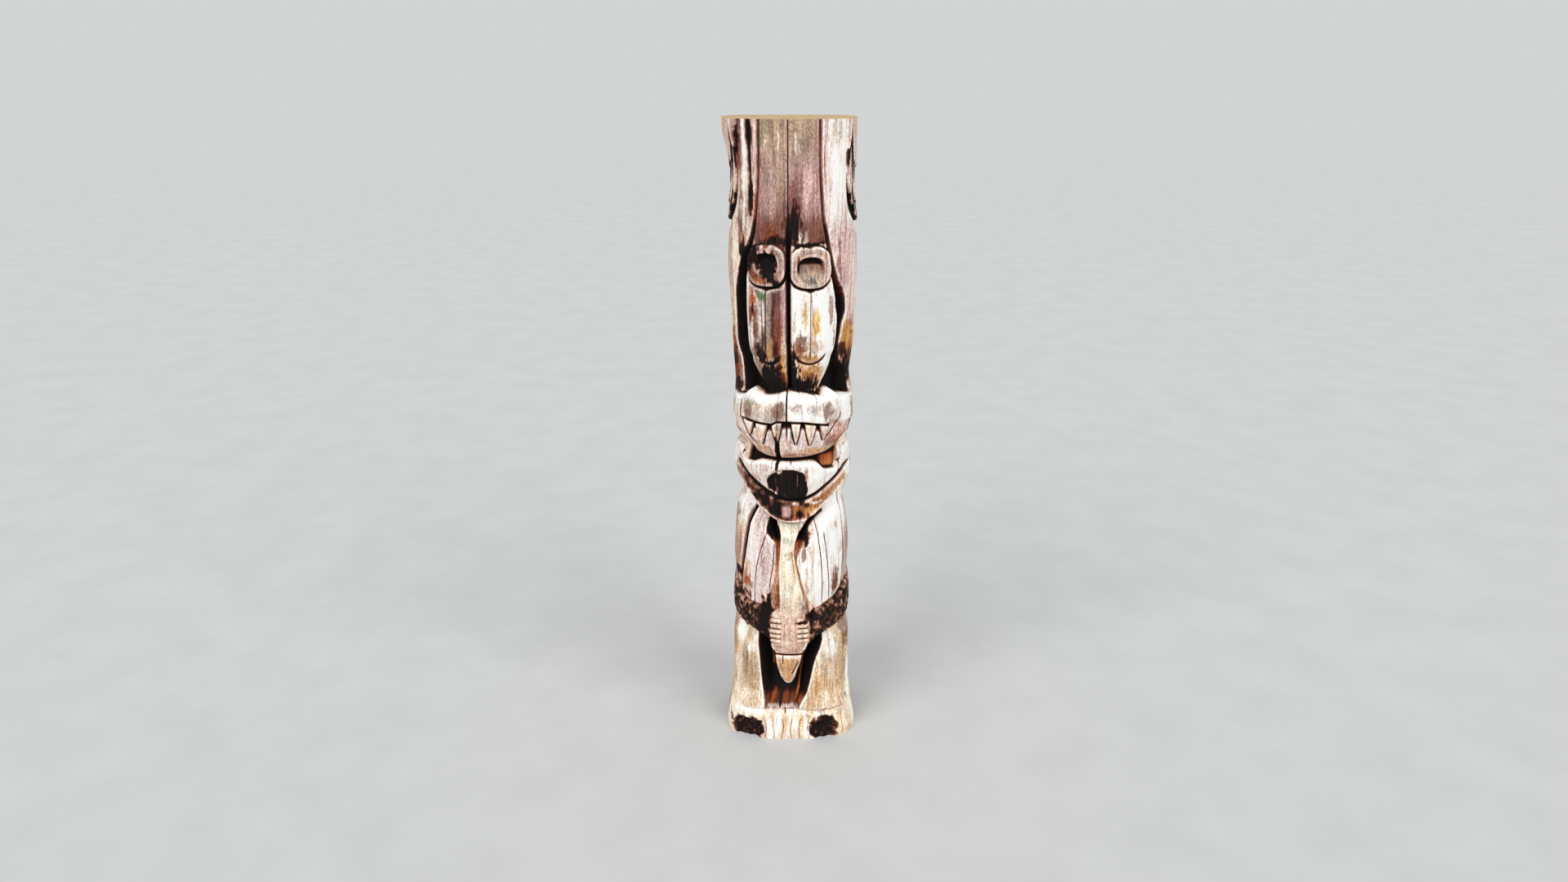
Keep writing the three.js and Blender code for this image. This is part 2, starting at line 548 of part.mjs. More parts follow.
function thinOut(faces, most) {
  const planes = new Float64Array(points.length * TERMS.length);
  const facesAt = points.map(() => []);
  faces.forEach((face, f) => {
    const [a, b, c] = face.map((k) => new THREE.Vector3(...points[k]));
    const normal = b.clone().sub(a).cross(c.clone().sub(a));
    const weight = normal.length();
    normal.normalize();
    const plane = [...normal, -normal.dot(a)];
    for (const k of face) {
      facesAt[k].push(f);
      TERMS.forEach(([p, q], t) => (planes[k * TERMS.length + t] += weight * plane[p] * plane[q]));
    }
  });

  const distance = (k, [x, y, z]) => {
    const at = [x, y, z, 1];
    let sum = 0;
    for (let t = 0; t < TERMS.length; t += 1) {
      const [p, q] = TERMS[t];
      sum += planes[k * TERMS.length + t] * at[p] * at[q] * (p === q ? 1 : 2);
    }
    return sum;
  };
  const neighbours = (k) => new Set(facesAt[k].flatMap((f) => faces[f]).filter((other) => other !== k));
  const columnsApart = (a, b) => ((((b - a) % COLUMNS) + 1.5 * COLUMNS) % COLUMNS) - COLUMNS / 2;
  const row = (k) => Math.floor(k / COLUMNS);
  // Seen straight on to the log, every face stays the right way round, so none folds over another.
  const faceIsFine = (a, b, c) =>
    columnsApart(a, b) * (row(c) - row(a)) > columnsApart(a, c) * (row(b) - row(a));
  const mayMove = (from, to, near) => {
    if (row(from) % ROWS === 0 && row(to) !== row(from)) return false;
    const shared = facesAt[from].filter((f) => faces[f].includes(to)).length;
    let common = 0;
    for (const other of neighbours(to)) if (near.has(other)) common += 1;
    return common === shared && facesAt[from].every((f) => {
      return faces[f].includes(to) || faceIsFine(...faces[f].map((k) => (k === from ? to : k)));
    });
  };

  let left = faces.length;
  let live = points.map((_, k) => k);
  for (let tolerance = TOLERANCE_START; left > most; tolerance *= TOLERANCE_GROWTH) {
    const touched = new Set();
    for (const from of live) {
      if (left <= most) break;
      if (touched.has(from)) continue;
      const near = neighbours(from);
      let best = null;
      let least = tolerance;
      for (const to of near) {
        const apart = Math.hypot(...points[from].map((v, k) => v - points[to][k]));
        const cost = distance(from, points[to]) + distance(to, points[to]) + LENGTH_COST * apart * apart;
        if (cost < least && mayMove(from, to, near)) [best, least] = [to, cost];
      }
      if (best === null) continue;
      for (const f of facesAt[from]) {
        if (faces[f].includes(best)) {
          for (const k of faces[f]) if (k !== from) facesAt[k] = facesAt[k].filter((other) => other !== f);
          faces[f] = [];
          left -= 1;
        } else {
          faces[f] = faces[f].map((k) => (k === from ? best : k));
          facesAt[best].push(f);
        }
      }
      TERMS.forEach((_, t) => (planes[best * TERMS.length + t] += planes[from * TERMS.length + t]));
      facesAt[from] = [];
      for (const other of near) touched.add(other);
    }
    live = live.filter((k) => facesAt[k].length > 0);
  }
  return faces.filter((face) => face.length > 0);
}

const triangles = thinOut(gridFaces, MOST_TRIANGLES);

// Flat ends: a fan from the log's heart to the vertices in use on the first and last rows
const used = new Set(triangles.flat());
points.push([0, 0, 0], [0, 0, HEIGHT]);
for (const [row, heart] of [[0, points.length - 2], [ROWS, points.length - 1]]) {
  const rim = [];
  for (let i = 0; i < COLUMNS; i += 1) if (used.has(vertex(i, row))) rim.push(vertex(i, row));
  rim.forEach((from, k) => {
    const to = rim[(k + 1) % rim.length];
    triangles.push(row === 0 ? [heart, to, from] : [heart, from, to]);
  });
}

function poleGeometry() {
  const kept = [...new Set(triangles.flat())];
  const place = new Map(kept.map((from, to) => [from, to]));
  const geometry = new THREE.BufferGeometry();
  geometry.setAttribute("position", new THREE.Float32BufferAttribute(kept.flatMap((k) => points[k]), 3));
  geometry.setIndex(triangles.flat().map((k) => place.get(k)));
  geometry.computeVertexNormals();
  return geometry;
}

const cedar = new THREE.MeshStandardMaterial({ color: 0x9a8474, roughness: 0.85, metalness: 0 });
const pole = new THREE.Mesh(poleGeometry(), cedar);
pole.name = "carved_pole";
const totemPole = new THREE.Group();
totemPole.add(pole);

export default totemPole;
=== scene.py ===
"""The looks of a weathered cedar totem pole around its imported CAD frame.

The carving is worked out again here, finer than in the CAD solid, and in millimetres, as a carver
would measure it. It becomes metres once, when the mesh is made. Places are given as they are seen
from the front: x to the right of the log's middle and z over the ground.
"""
import math

import bpy
import numpy as np
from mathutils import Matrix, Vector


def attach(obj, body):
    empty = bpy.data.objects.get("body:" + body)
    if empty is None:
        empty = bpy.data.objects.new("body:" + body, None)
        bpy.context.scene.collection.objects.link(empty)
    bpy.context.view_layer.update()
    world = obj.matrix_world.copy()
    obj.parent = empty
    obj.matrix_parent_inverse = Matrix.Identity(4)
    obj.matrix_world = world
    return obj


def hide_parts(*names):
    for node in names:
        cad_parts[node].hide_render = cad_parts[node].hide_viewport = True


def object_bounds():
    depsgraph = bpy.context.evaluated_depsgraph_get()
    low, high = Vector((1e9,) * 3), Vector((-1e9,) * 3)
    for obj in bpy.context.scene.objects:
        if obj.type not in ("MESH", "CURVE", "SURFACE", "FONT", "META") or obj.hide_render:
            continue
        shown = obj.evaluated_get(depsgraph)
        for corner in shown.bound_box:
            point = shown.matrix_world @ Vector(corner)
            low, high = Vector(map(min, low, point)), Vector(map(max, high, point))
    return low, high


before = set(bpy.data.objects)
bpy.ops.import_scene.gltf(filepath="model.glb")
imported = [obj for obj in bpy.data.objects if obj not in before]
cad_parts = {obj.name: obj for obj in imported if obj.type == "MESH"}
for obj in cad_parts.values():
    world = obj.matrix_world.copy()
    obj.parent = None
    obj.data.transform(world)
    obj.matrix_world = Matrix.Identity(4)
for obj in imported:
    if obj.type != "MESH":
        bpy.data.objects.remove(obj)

CAD_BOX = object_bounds()
MM = 0.001

# Driving dimensions, the same as the solid's
HEIGHT = 3500
HALF_WIDTH = 338
FRONT_DEPTH = 305
ARC_RADIUS = 330
GIRTH = 2 * math.pi * ARC_RADIUS

# The fine mesh: its grid, the rings of its flat ends, the triangles that are left of it, how near the
# ends the relief stops, and how far the paint stands out while the mesh is thinned
COLUMNS = 560
ROWS = 1120
CAP_RINGS = 14
MOST_TRIANGLES = 196000
END_MARGIN = 16
PAINT_RELIEF = 9
SHARP_ANGLE = math.radians(60)


# Small functions that the carving is made of

def clamp(v):
    return np.clip(v, 0.0, 1.0)


def mix(a, b, share):
    return a + (b - a) * share


def ease(start, end, v):
    t = clamp((v - start) / (end - start))
    return t * t * (3 - 2 * t)


def within(low, high, soft, v):
    return ease(low - soft, low + soft, v) * ease(high + soft, high - soft, v)


def dome(low, high, v):
    return np.sqrt(clamp(1 - ((2 * v - low - high) / (high - low)) ** 2))


def bell(offset, half_width):
    return np.exp(-((offset / half_width) ** 2))


def across(x):
    """Arc length round the log, from the front's middle, of a point that is seen at x."""
    return ARC_RADIUS * math.atan2(x, FRONT_DEPTH * math.sqrt(max(0.0, 1 - (x / HALF_WIDTH) ** 2)))


def curve(*points):
    """A smooth curve through (at, value) points that never swings past them."""
    at, value = np.array(sorted(points), dtype=float).T
    slopes = np.diff(value) / np.diff(at)
    before, after = np.append(0, slopes), np.append(slopes, 0)
    same_way = before * after > 0
    total = np.where(same_way, before + after, 1)
    tangents = np.where(same_way, 2 * before * after / total, 0)

    def through(v):
        v = np.clip(v, at[0], at[-1])
        k = np.clip(np.searchsorted(at, v, side="right") - 1, 0, len(slopes) - 1)
        span = at[k + 1] - at[k]
        t = (v - at[k]) / span
        s = 1 - t
        ends = value[k] * s * s * (1 + 2 * t) + value[k + 1] * t * t * (1 + 2 * s)
        return ends + span * t * s * (tangents[k] * s - tangents[k + 1] * t)

    return through


def upright(*points):
    """A line that runs up the pole, from (height, x) points: gives arc length by height."""
    return curve(*[(z, across(x)) for z, x in points])


def around(*points):
    """A line that runs round the pole, from (x, height) points: gives height by arc length."""
    return curve(*[(across(x), z) for x, z in points])


def noise(u, z, wide, tall, seed, octaves=1):
    """Smooth random values from -1 to 1, in cells of this size in mm, without a seam at the back."""
    total = np.zeros_like(u)
    for octave in range(octaves):
        columns = max(4, round(GIRTH / wide * 2 ** octave))
        rows = math.ceil(HEIGHT / tall * 2 ** octave) + 2
        lattice = np.random.default_rng(seed + 1000 * octave).uniform(-1, 1, (rows + 1, columns))
        du = (u / GIRTH + 0.5) * columns
        dz = np.clip(z / tall * 2 ** octave, 0, rows - 1e-3)
        i, j = np.floor(du).astype(int), np.floor(dz).astype(int)
        fu, fz = du - i, dz - j
        fu, fz = fu * fu * (3 - 2 * fu), fz * fz * (3 - 2 * fz)
        i0, i1, j1 = i % columns, (i + 1) % columns, np.minimum(j + 1, rows)
        low = mix(lattice[j, i0], lattice[j, i1], fu)
        high = mix(lattice[j1, i0], lattice[j1, i1], fu)
        total += mix(low, high, fz) * 0.5 ** octave
    return total / (2 - 0.5 ** (octaves - 1))


# The wood's colours, from 0 to 255 as they look on a screen

PALETTE = dict(
    black=(16, 7, 5), dark=(62, 34, 26), brown=(120, 76, 56), rust=(130, 66, 30), orange=(172, 94, 48),
    ochre=(204, 152, 88), gold=(242, 204, 140), tan=(202, 171, 148), olive=(172, 148, 124),
    grey=(156, 134, 121), ash=(134, 122, 112), mauve=(176, 144, 136), plum=(126, 76, 76),
    sand=(212, 184, 148),
    rose=(212, 176, 172), lilac=(230, 214, 212), cream=(238, 224, 206), ivory=(240, 232, 210),
    white=(252, 249, 245), green=(92, 110, 78),
)


def linear(colour):
    return [v / 12.92 if v <= 0.04045 else ((v + 0.055) / 1.055) ** 2.4 for v in np.array(colour) / 255]


def tint(name):
    return np.array(linear(PALETTE[name]), dtype=np.float32)[:, None, None]


def shades(first, *others):
    """A colour with others laid over it, each a name and its share from 0 to 1."""
    colour = tint(first)
    for name, share in others:
        colour = mix(colour, tint(name), share)
    return colour


# A coat is a height over the plain log, in mm, with the wood's colour there and the soot and painted shade
# on it. They are stacked, so that laying one coat over another carries height and wood along together.
TALL, TONE, SOOT_AND_SHADE = 0, slice(1, 4), 4


def coat(height, colour, soot=0.0):
    form = np.empty((5, *np.shape(height)), dtype=np.float32)
    form[TALL] = height
    form[TONE] = colour
    form[SOOT_AND_SHADE] = soot
    return form


def stain(form, colour, share):
    """Lays a colour over a coat: tone values, or a name from the palette."""
    if isinstance(colour, str):
        colour = tint(colour)
    form[TONE] = mix(form[TONE], colour, share)


# Raises a coat's soot and painted shade to at least this share.
def darkened(form, share):
    form[SOOT_AND_SHADE] = np.maximum(form[SOOT_AND_SHADE], share)


def laid(under, over, inside, low, high):
    """One coat over another, with a wall between them that keeps the lower coat's wood."""
    form = mix(under, over, ease(low, high, inside))
    form[1:] = mix(under[1:], over[1:], ease(high - 4, high + 4, inside))
    return form


def scored(form, offset, half_width, depth, where=1.0, soot=1.1):
    """Cuts a groove into a coat and blackens it with painted shade."""
    line = bell(offset, half_width) * where
    form[TALL] -= depth * line
    darkened(form, soot * line)


# The log's outline under the carving, by height

left_width = curve(
    (3500, 364), (3420, 357), (3350, 342), (3250, 331), (3020, 331), (2750, 338), (2600, 330),
    (2400, 322), (2300, 318), (2135, 308), (2060, 314), (1930, 311), (1860, 312), (1793, 286),
    (1740, 312), (1670, 321), (1600, 310), (1550, 299), (1477, 268), (1437, 288), (1396, 304),
    (1320, 316), (1090, 330), (960, 322), (740, 322), (690, 326), (600, 338), (300, 347),
    (180, 355), (0, 383),
)
right_width = curve(
    (3500, 328), (3300, 328), (3100, 328), (2900, 335), (2700, 338), (2500, 336), (2370, 331),
    (2280, 317), (2190, 307), (2130, 314), (2070, 326), (2000, 320), (1930, 326), (1850, 318),
    (1793, 304), (1740, 320), (1620, 330), (1560, 320), (1440, 283), (1396, 294), (1300, 312),
    (1150, 326), (960, 318), (740, 318), (680, 320), (620, 334), (300, 341), (180, 349), (0, 377),
)
front_depth = curve(
    (3500, 300), (2300, 300), (1950, 306), (1500, 292), (1200, 290), (800, 300), (190, 298), (0, 314)
)
back_depth = curve((3500, 246), (1800, 262), (0, 282))
front_squareness = curve((3500, 2.15), (300, 2.15), (160, 3.3), (0, 3.4))
BACK_SQUARENESS = 2.7


def log_radius(angle, z):
    cosine = np.cos(angle)
    facing = cosine > 0
    power = np.where(facing, front_squareness(z), BACK_SQUARENESS)
    side = np.abs(np.sin(angle)) / np.where(angle < 0, left_width(z), right_width(z))
    depth = np.abs(cosine) / np.where(facing, front_depth(z), back_depth(z))
    return (side ** power + depth ** power) ** (-1 / power)


# The wings of a figure further up, whose feather tips hang down both sides. v runs round each side
# from the front's middle, and the left wing starts a little further round than the right one.

LEFT_WING_SHIFT = 26
WING_STEP = 6
WING_UNDERCUT = 14
FEATHER_STEP = 8
FEATHER_PITCH = 70
FEATHER_START = 322
FEATHER_TIP = 165
BARB_PITCH = 9
wing_bottom = curve(
    (294, 3560), (302, 3240), (314, 3162), (342, 3108), (394, 3050), (450, 3006), (530, 2978),
    (610, 3000), (680, 3080), (735, 3230), (765, 3560),
)
tip_height = curve((300, 3150), (350, 3112), (450, 3075), (540, 3070), (640, 3130), (740, 3330))
# The two rows of feather tips: how far over the line of the lower row, and their shift along it
FEATHER_ROWS = ((0, 0.5), (178, 0))


def add_wings(form, u, z):
    v = np.abs(u) - np.where(u < 0, LEFT_WING_SHIFT, 0)
    in_wing = z - wing_bottom(v)
    in_sides = ease(-3, 5, in_wing)
    under = ease(-84, -40, in_wing) * (1 - in_sides) * ease(285, 330, v)
    form[TALL] += WING_STEP * in_sides - WING_UNDERCUT * under
    worn = noise(u, z, 40, 120, 61, 3)
    feathered = shades("tan", ("rose", ease(-0.3, 0.5, worn)), ("cream", 0.6 * ease(0.1, 0.6, -worn)))
    stain(form, feathered, in_sides)
    form[SOOT_AND_SHADE] *= 1 - in_sides
    # Painted shadow in the undercut below the wing's edge.
    darkened(form, 1.2 * under)
    for lift, shift in FEATHER_ROWS:
        place = (v - FEATHER_START) / FEATHER_PITCH + shift
        from_shaft = np.abs(2 * (place - np.floor(place)) - 1)
        edge = tip_height(v) + lift + FEATHER_TIP * from_shaft ** 1.7
        in_feather = ease(-1, 5, z - edge) * in_sides
        form[TALL] += FEATHER_STEP * in_feather
        form[TALL] -= 2.5 * in_feather * ease(260, 200, z - edge) * bell(from_shaft, 0.06)
        form[TALL] += 0.5 * in_feather * np.sin(2 * math.pi * (z + 60 * from_shaft) / BARB_PITCH)
        # Painted shadow in the notches under the feather tips, laid over the feathers below.
        shadow_notch = in_sides * within(-100, 2, 6, z - edge) * mix(1, 0.7, from_shaft)
        stain(form, "white", 0.6 * within(2, 30, 6, z - edge) * in_feather)
        darkened(form, shadow_notch * 1.3)


# The upper body: a plain panel that turns into two long lobes under eye-like discs

body_left = upright(
    (3500, -168), (3300, -171), (3100, -181), (2950, -197), (2870, -214), (2760, -236),
    (2600, -241), (2400, -235), (2300, -222), (2210, -200), (2130, -170), (2110, -164),
)
body_right = upright(
    (3500, 131), (3300, 133), (3050, 148), (2870, 178), (2780, 191), (2700, 205), (2600, 222),
    (2500, 230), (2400, 226), (2300, 210), (2200, 197), (2110, 185),
)
roll_left = upright(
    (3500, -174), (3300, -178), (3100, -188), (2950, -208), (2860, -240), (2750, -271),
    (2600, -290), (2400, -290), (2330, -278), (2290, -263), (2200, -257), (2110, -255),
)
roll_right = upright(
    (3500, 138), (3300, 140), (3050, 156), (2870, 188), (2780, 206), (2700, 228), (2600, 262),
    (2540, 264), (2480, 249), (2420, 238), (2330, 228), (2280, 242), (2215, 290), (2110, 302),
)
body_split = upright((3500, -28), (2700, -24), (2110, -18))
trench_depth = curve(
    (3500, 10), (2930, 14), (2860, 26), (2780, 52), (2650, 72), (2300, 74), (2110, 84)
)
lobe_level = curve(
    (2880, -10), (2700, -8), (2400, -6), (2290, -10), (2210, -32), (2130, -66)
)
split_depth = curve((3500, 5), (3000, 7), (2930, 22), (2860, 44), (2110, 46))
split_half_width = curve((3500, 3), (3010, 4), (2930, 14), (2850, 13), (2110, 11))

# One entry for each lobe: its outer edge, its disc and the hollow in it, the nail-shaped end below,
# each as x, z, half width and half height, its crease and how rotten the hollow is
LOBES = (
    dict(outer=body_left, disc=(-135, 2789, 97, 105), hollow=(-131, 2794, 58, 62),
         nail=(-124, 2352, 68, 80), crease=-137, rotten=0.6),
    dict(outer=body_right, disc=(89, 2782, 101, 106), hollow=(91, 2766, 70, 70),
         nail=(91, 2352, 86, 80), crease=90, rotten=0),
)


def inside_oval(u, z, oval, power=2.5):
    """How far inside an oval a point is, in mm."""
    x, height, half_width, half_height = oval
    du = np.abs(u - across(x)) / (across(x + half_width) - across(x))
    dz = np.abs(z - height) / half_height
    return (1 - (du ** power + dz ** power) ** (1 / power)) * min(half_width, half_height)


PANEL_LEVEL = -9
PANEL_CROWN = 10
LOBE_CROWN = 20
NAIL_STEP = 6
DISC_LEVEL = 8
DISC_CROWN = 8
HOLLOW_DEPTH = 42


def panel_level(u, z):
    return PANEL_LEVEL + PANEL_CROWN * dome(body_left(z), body_right(z), u)


def lobe(u, z, colour, outer, disc, hollow, nail, crease, rotten):
    edges = (outer(z), body_split(z))
    h = lobe_level(z) + LOBE_CROWN * dome(np.minimum(*edges), np.maximum(*edges), u)
    h = mix(h, panel_level(u, z), ease(disc[1], disc[1] + 0.9 * disc[3], z))
    form = coat(h, colour)

    # The nail's rounded end, with a painted highlight on its edge under a dark crescent of painted shade
    below = inside_oval(u, z, nail, 2)
    on_end = ease(nail[1] - 10, nail[1] - 45, z)
    form[TALL] -= NAIL_STEP * ease(3, -2, below) * on_end
    scored(form, below - 5, 7, 10, on_end)
    rim = bell(below + 6.5, 3) * on_end
    stain(form, "white", rim)
    form[SOOT_AND_SHADE] *= 1 - rim
    scored(form, u - across(crease), 2.5, 5, within(2300, 2660, 12, z), 0.75)

    # The disc over it, outlined and undercut in painted shade that is darkest below, and the hollow that is
    # deepest at its top, where painted shadow turns it brown and black
    in_disc = inside_oval(u, z, disc, 2.6)
    bottom = disc[1] - disc[3]
    scored(form, in_disc + 6, 7, mix(15, 5, ease(disc[1], disc[1] + 60, z)), soot=mix(
        1.3, 0.5, ease(disc[1] - 20, disc[1] + 30, z)))
    scored(form, (z - bottom + 16 - 0.45 * np.abs(u - across(disc[0]))) / 1.1, 9, 8,
           within(across(disc[0]) - 34, across(disc[0]) + 34, 10, u))
    crown = DISC_LEVEL + DISC_CROWN * dome(across(disc[0] - disc[2]), across(disc[0] + disc[2]), u)
    worn = noise(u, z, 22, 60, 62, 3)
    rim_wood = coat(crown, shades(
        "tan", ("ash", 0.8 * ease(-0.1, 0.6, worn)), ("mauve", 0.5 + 0.6 * rotten),
        ("brown", rotten)))
    form = laid(form, rim_wood, in_disc, -4, 2)
    up = clamp((z - hollow[1] + hollow[3]) / (2 * hollow[3]))
    in_hollow = ease(-1, 8, inside_oval(u, z, hollow, 2.4) + 9 * clamp(rotten) * worn)
    form[TALL] -= (2 + HOLLOW_DEPTH * up ** 1.3) * in_hollow
    floor = shades("tan", ("ash", ease(-0.4, 0.4, worn)), ("brown", ease(0.25, 0.6, up)))
    stain(form, floor, in_hollow)
    darkened(form, 1.1 * in_hollow * ease(0.66, 0.82, up + rotten * (1 + 1.6 * worn)))
    return form


# The rolls on either side of it, the left one fluted at the top
ROLL_LEVEL = 2
ROLL_CROWNS = (6, 12)
ROLL_LOW_CROWN = 8
ROLL_END = 640
FLUTE = -217
FLUTE_DEPTH = 20


def upper_body(u, z, x):
    # The trench: plum, turning black with painted shade lower down where it is deeper, and browner with
    # less of that shade over a stretch of each side.
    shallow = np.where(u < 0, within(2840, 2950, 70, z), within(2600, 2950, 70, z))
    trench = coat(-trench_depth(z), shades("plum", ("dark", ease(3060, 2920, z)), ("brown", 0.8 * shallow)),
                  mix(0.3, 1.1, ease(3060, 2900, z)) * (1 - 0.55 * shallow))

    # The panel, from olive at the top through mauve to brown
    worn = noise(u, z, 60, 240, 63, 3)
    low = ease(3090, 2950, z)
    panel = coat(panel_level(u, z), shades(
        "mauve",
        ("olive", clamp(ease(3260, 3440, z) * 0.8 + 0.6 * worn * ease(3060, 3200, z))),
        ("plum", 0.3 * within(2990, 3200, 60, z) * ease(-0.5, 0.5, worn)),
        ("rose", ease(20, 60, x) * within(3020, 3330, 50, z) * 0.8),
        ("brown", 0.9 * low),
        ("dark", 0.35 * low),
    ))

    # The lobes: the left one is plum and grey, the right one bleached
    plum_side = ease(-122, -90, x)
    left = shades("grey", ("plum", 0.95 * plum_side), ("lilac", 0.8 * ease(0, 0.5, worn) * (1 - plum_side)),
                  ("dark", 0.6 * ease(0.1, 0.5, -worn)))
    right = tint("white")
    lobes = coat(0.0 * u, 0.0)
    split = body_split(z)
    for colour, here, lobe_parts in ((left, u < split, LOBES[0]), (right, u >= split, LOBES[1])):
        lobes[:, here] = lobe(u, z, colour, **lobe_parts)[:, here]
    body = mix(lobes, panel, ease(2872, 2910, z))
    # The split between the lobes is blackened with painted shade, less so towards the top.
    scored(body, u - split, split_half_width(z), split_depth(z), soot=mix(1.4, 0.8, ease(3000, 3100, z)))

    # The rolls on either side
    start = np.abs(np.where(u < 0, roll_left(z), roll_right(z)))
    high_crown = np.where(u < 0, *ROLL_CROWNS) * dome(start, across(320), np.abs(u))
    low_crown = ROLL_LOW_CROWN * dome(start, ROLL_END, np.abs(u))
    roll_h = ROLL_LEVEL + mix(low_crown, high_crown, ease(2700, 3000, z))
    high = ease(2930, 3060, z)
    streaky = noise(u, z, 18, 400, 64, 3)
    left = shades("tan", ("plum", 0.8 * high * ease(-0.2, 0.25, streaky)),
                  ("lilac", 0.8 * ease(0.05, 0.4, -streaky)))
    stained = within(2130, 2470, 60, z)
    rusty = shades("rust", ("dark", 0.6 * ease(0, 0.4, streaky)))
    left = mix(left, rusty, 0.8 * stained * ease(0.3, -0.2, streaky))
    right = shades("rose", ("white", mix(0.25, 1.0, high * ease(0.6, -0.2, streaky))),
                   ("orange", 0.9 * stained), ("dark", 0.7 * stained * ease(0.05, 0.4, streaky)))
    roll = coat(roll_h, np.where(u < 0, left, right))
    # The left roll's flute: a groove stained plum and blackened with painted shade, less so in a reddish
    # stretch.
    flute = bell(u - across(FLUTE), 14) * ease(2980, 3160, z)
    reddish = within(3180, 3380, 40, z)
    roll[TALL] -= FLUTE_DEPTH * flute
    stain(roll, "plum", clamp(1.3 * flute))
    darkened(roll, flute * mix(1.1, 0.45, reddish))

    form = laid(trench, body, np.minimum(u - body_left(z), body_right(z) - u), -6, 3)
    return laid(form, roll, np.abs(u) - start, -7, 3)


# Both heads are carved about a line a little left of the log's middle
HEAD_MIDDLE = -25
HEAD_REACH = 400


def head_spread(u):
    """Falls off round the log from 1 on the heads' middle line."""
    return 1 - clamp(np.abs(u - HEAD_MIDDLE) / HEAD_REACH) ** 2


# The muzzle: a thick upper lip, pointed teeth and the lower lip behind them

muzzle_top = around(
    (-338, 2074), (-270, 2094), (-228, 2132), (-150, 2106), (-30, 2128), (60, 2122), (150, 2104),
    (197, 2138), (260, 2096), (338, 2076),
)
tooth_line = around((-268, 1957), (-110, 1949), (-75, 1966), (45, 1962), (125, 1948), (185, 1938))
muzzle_bottom = around(
    (-338, 1846), (-290, 1832), (-250, 1796), (-200, 1764), (-150, 1748), (-60, 1742), (60, 1746),
    (120, 1752), (190, 1766), (250, 1786), (290, 1828), (338, 1848),
)
lip_face = curve((-6, -62), (18, 4), (46, 21), (100, 27), (160, 22), (200, 12))
lower_lip = curve((-4, -62), (6, -30), (24, -12), (60, 2), (110, 10), (150, 13), (220, 13))
mouth_left = upright((2085, -262), (1960, -269), (1900, -249), (1860, -226), (1820, -190))
mouth_right = upright((2000, 243), (1935, 217), (1885, 184), (1850, 160))
# Each tooth is x, the height of its point and its half width at the lip
TEETH = (
    (-222, 1868, 30), (-158, 1826, 36), (-80, 1838, 31), (17, 1834, 29), (90, 1826, 34),
    (158, 1852, 27),
)
GAP_ABOVE_TIP = 52
TOOTH_RISE = 12
TOOTH_OUTLINE = 8
GAP_DEPTH = 13


def teeth(u, z):
    """The teeth's rise, and how far a point is in the dark lines and gaps around them."""
    rise = np.zeros_like(u)
    outline = np.zeros_like(u)
    line = tooth_line(u)
    for x, tip, half_width in TEETH:
        up = clamp((z - tip) / (line - tip))
        in_tooth = half_width * up ** 0.8 - np.abs(u - across(x))
        rise = np.maximum(rise, (z > tip) * ease(-1, 5, in_tooth))
        edge = bell(in_tooth + 3.5, 3.5) * ease(tip - 8, tip + 8, z)
        outline = np.maximum(outline, edge)
    gap = ease(line - GAP_ABOVE_TIP, line - 12, z) * (1 - rise)
    return rise, outline, gap * within(across(-236), across(172), 10, u)


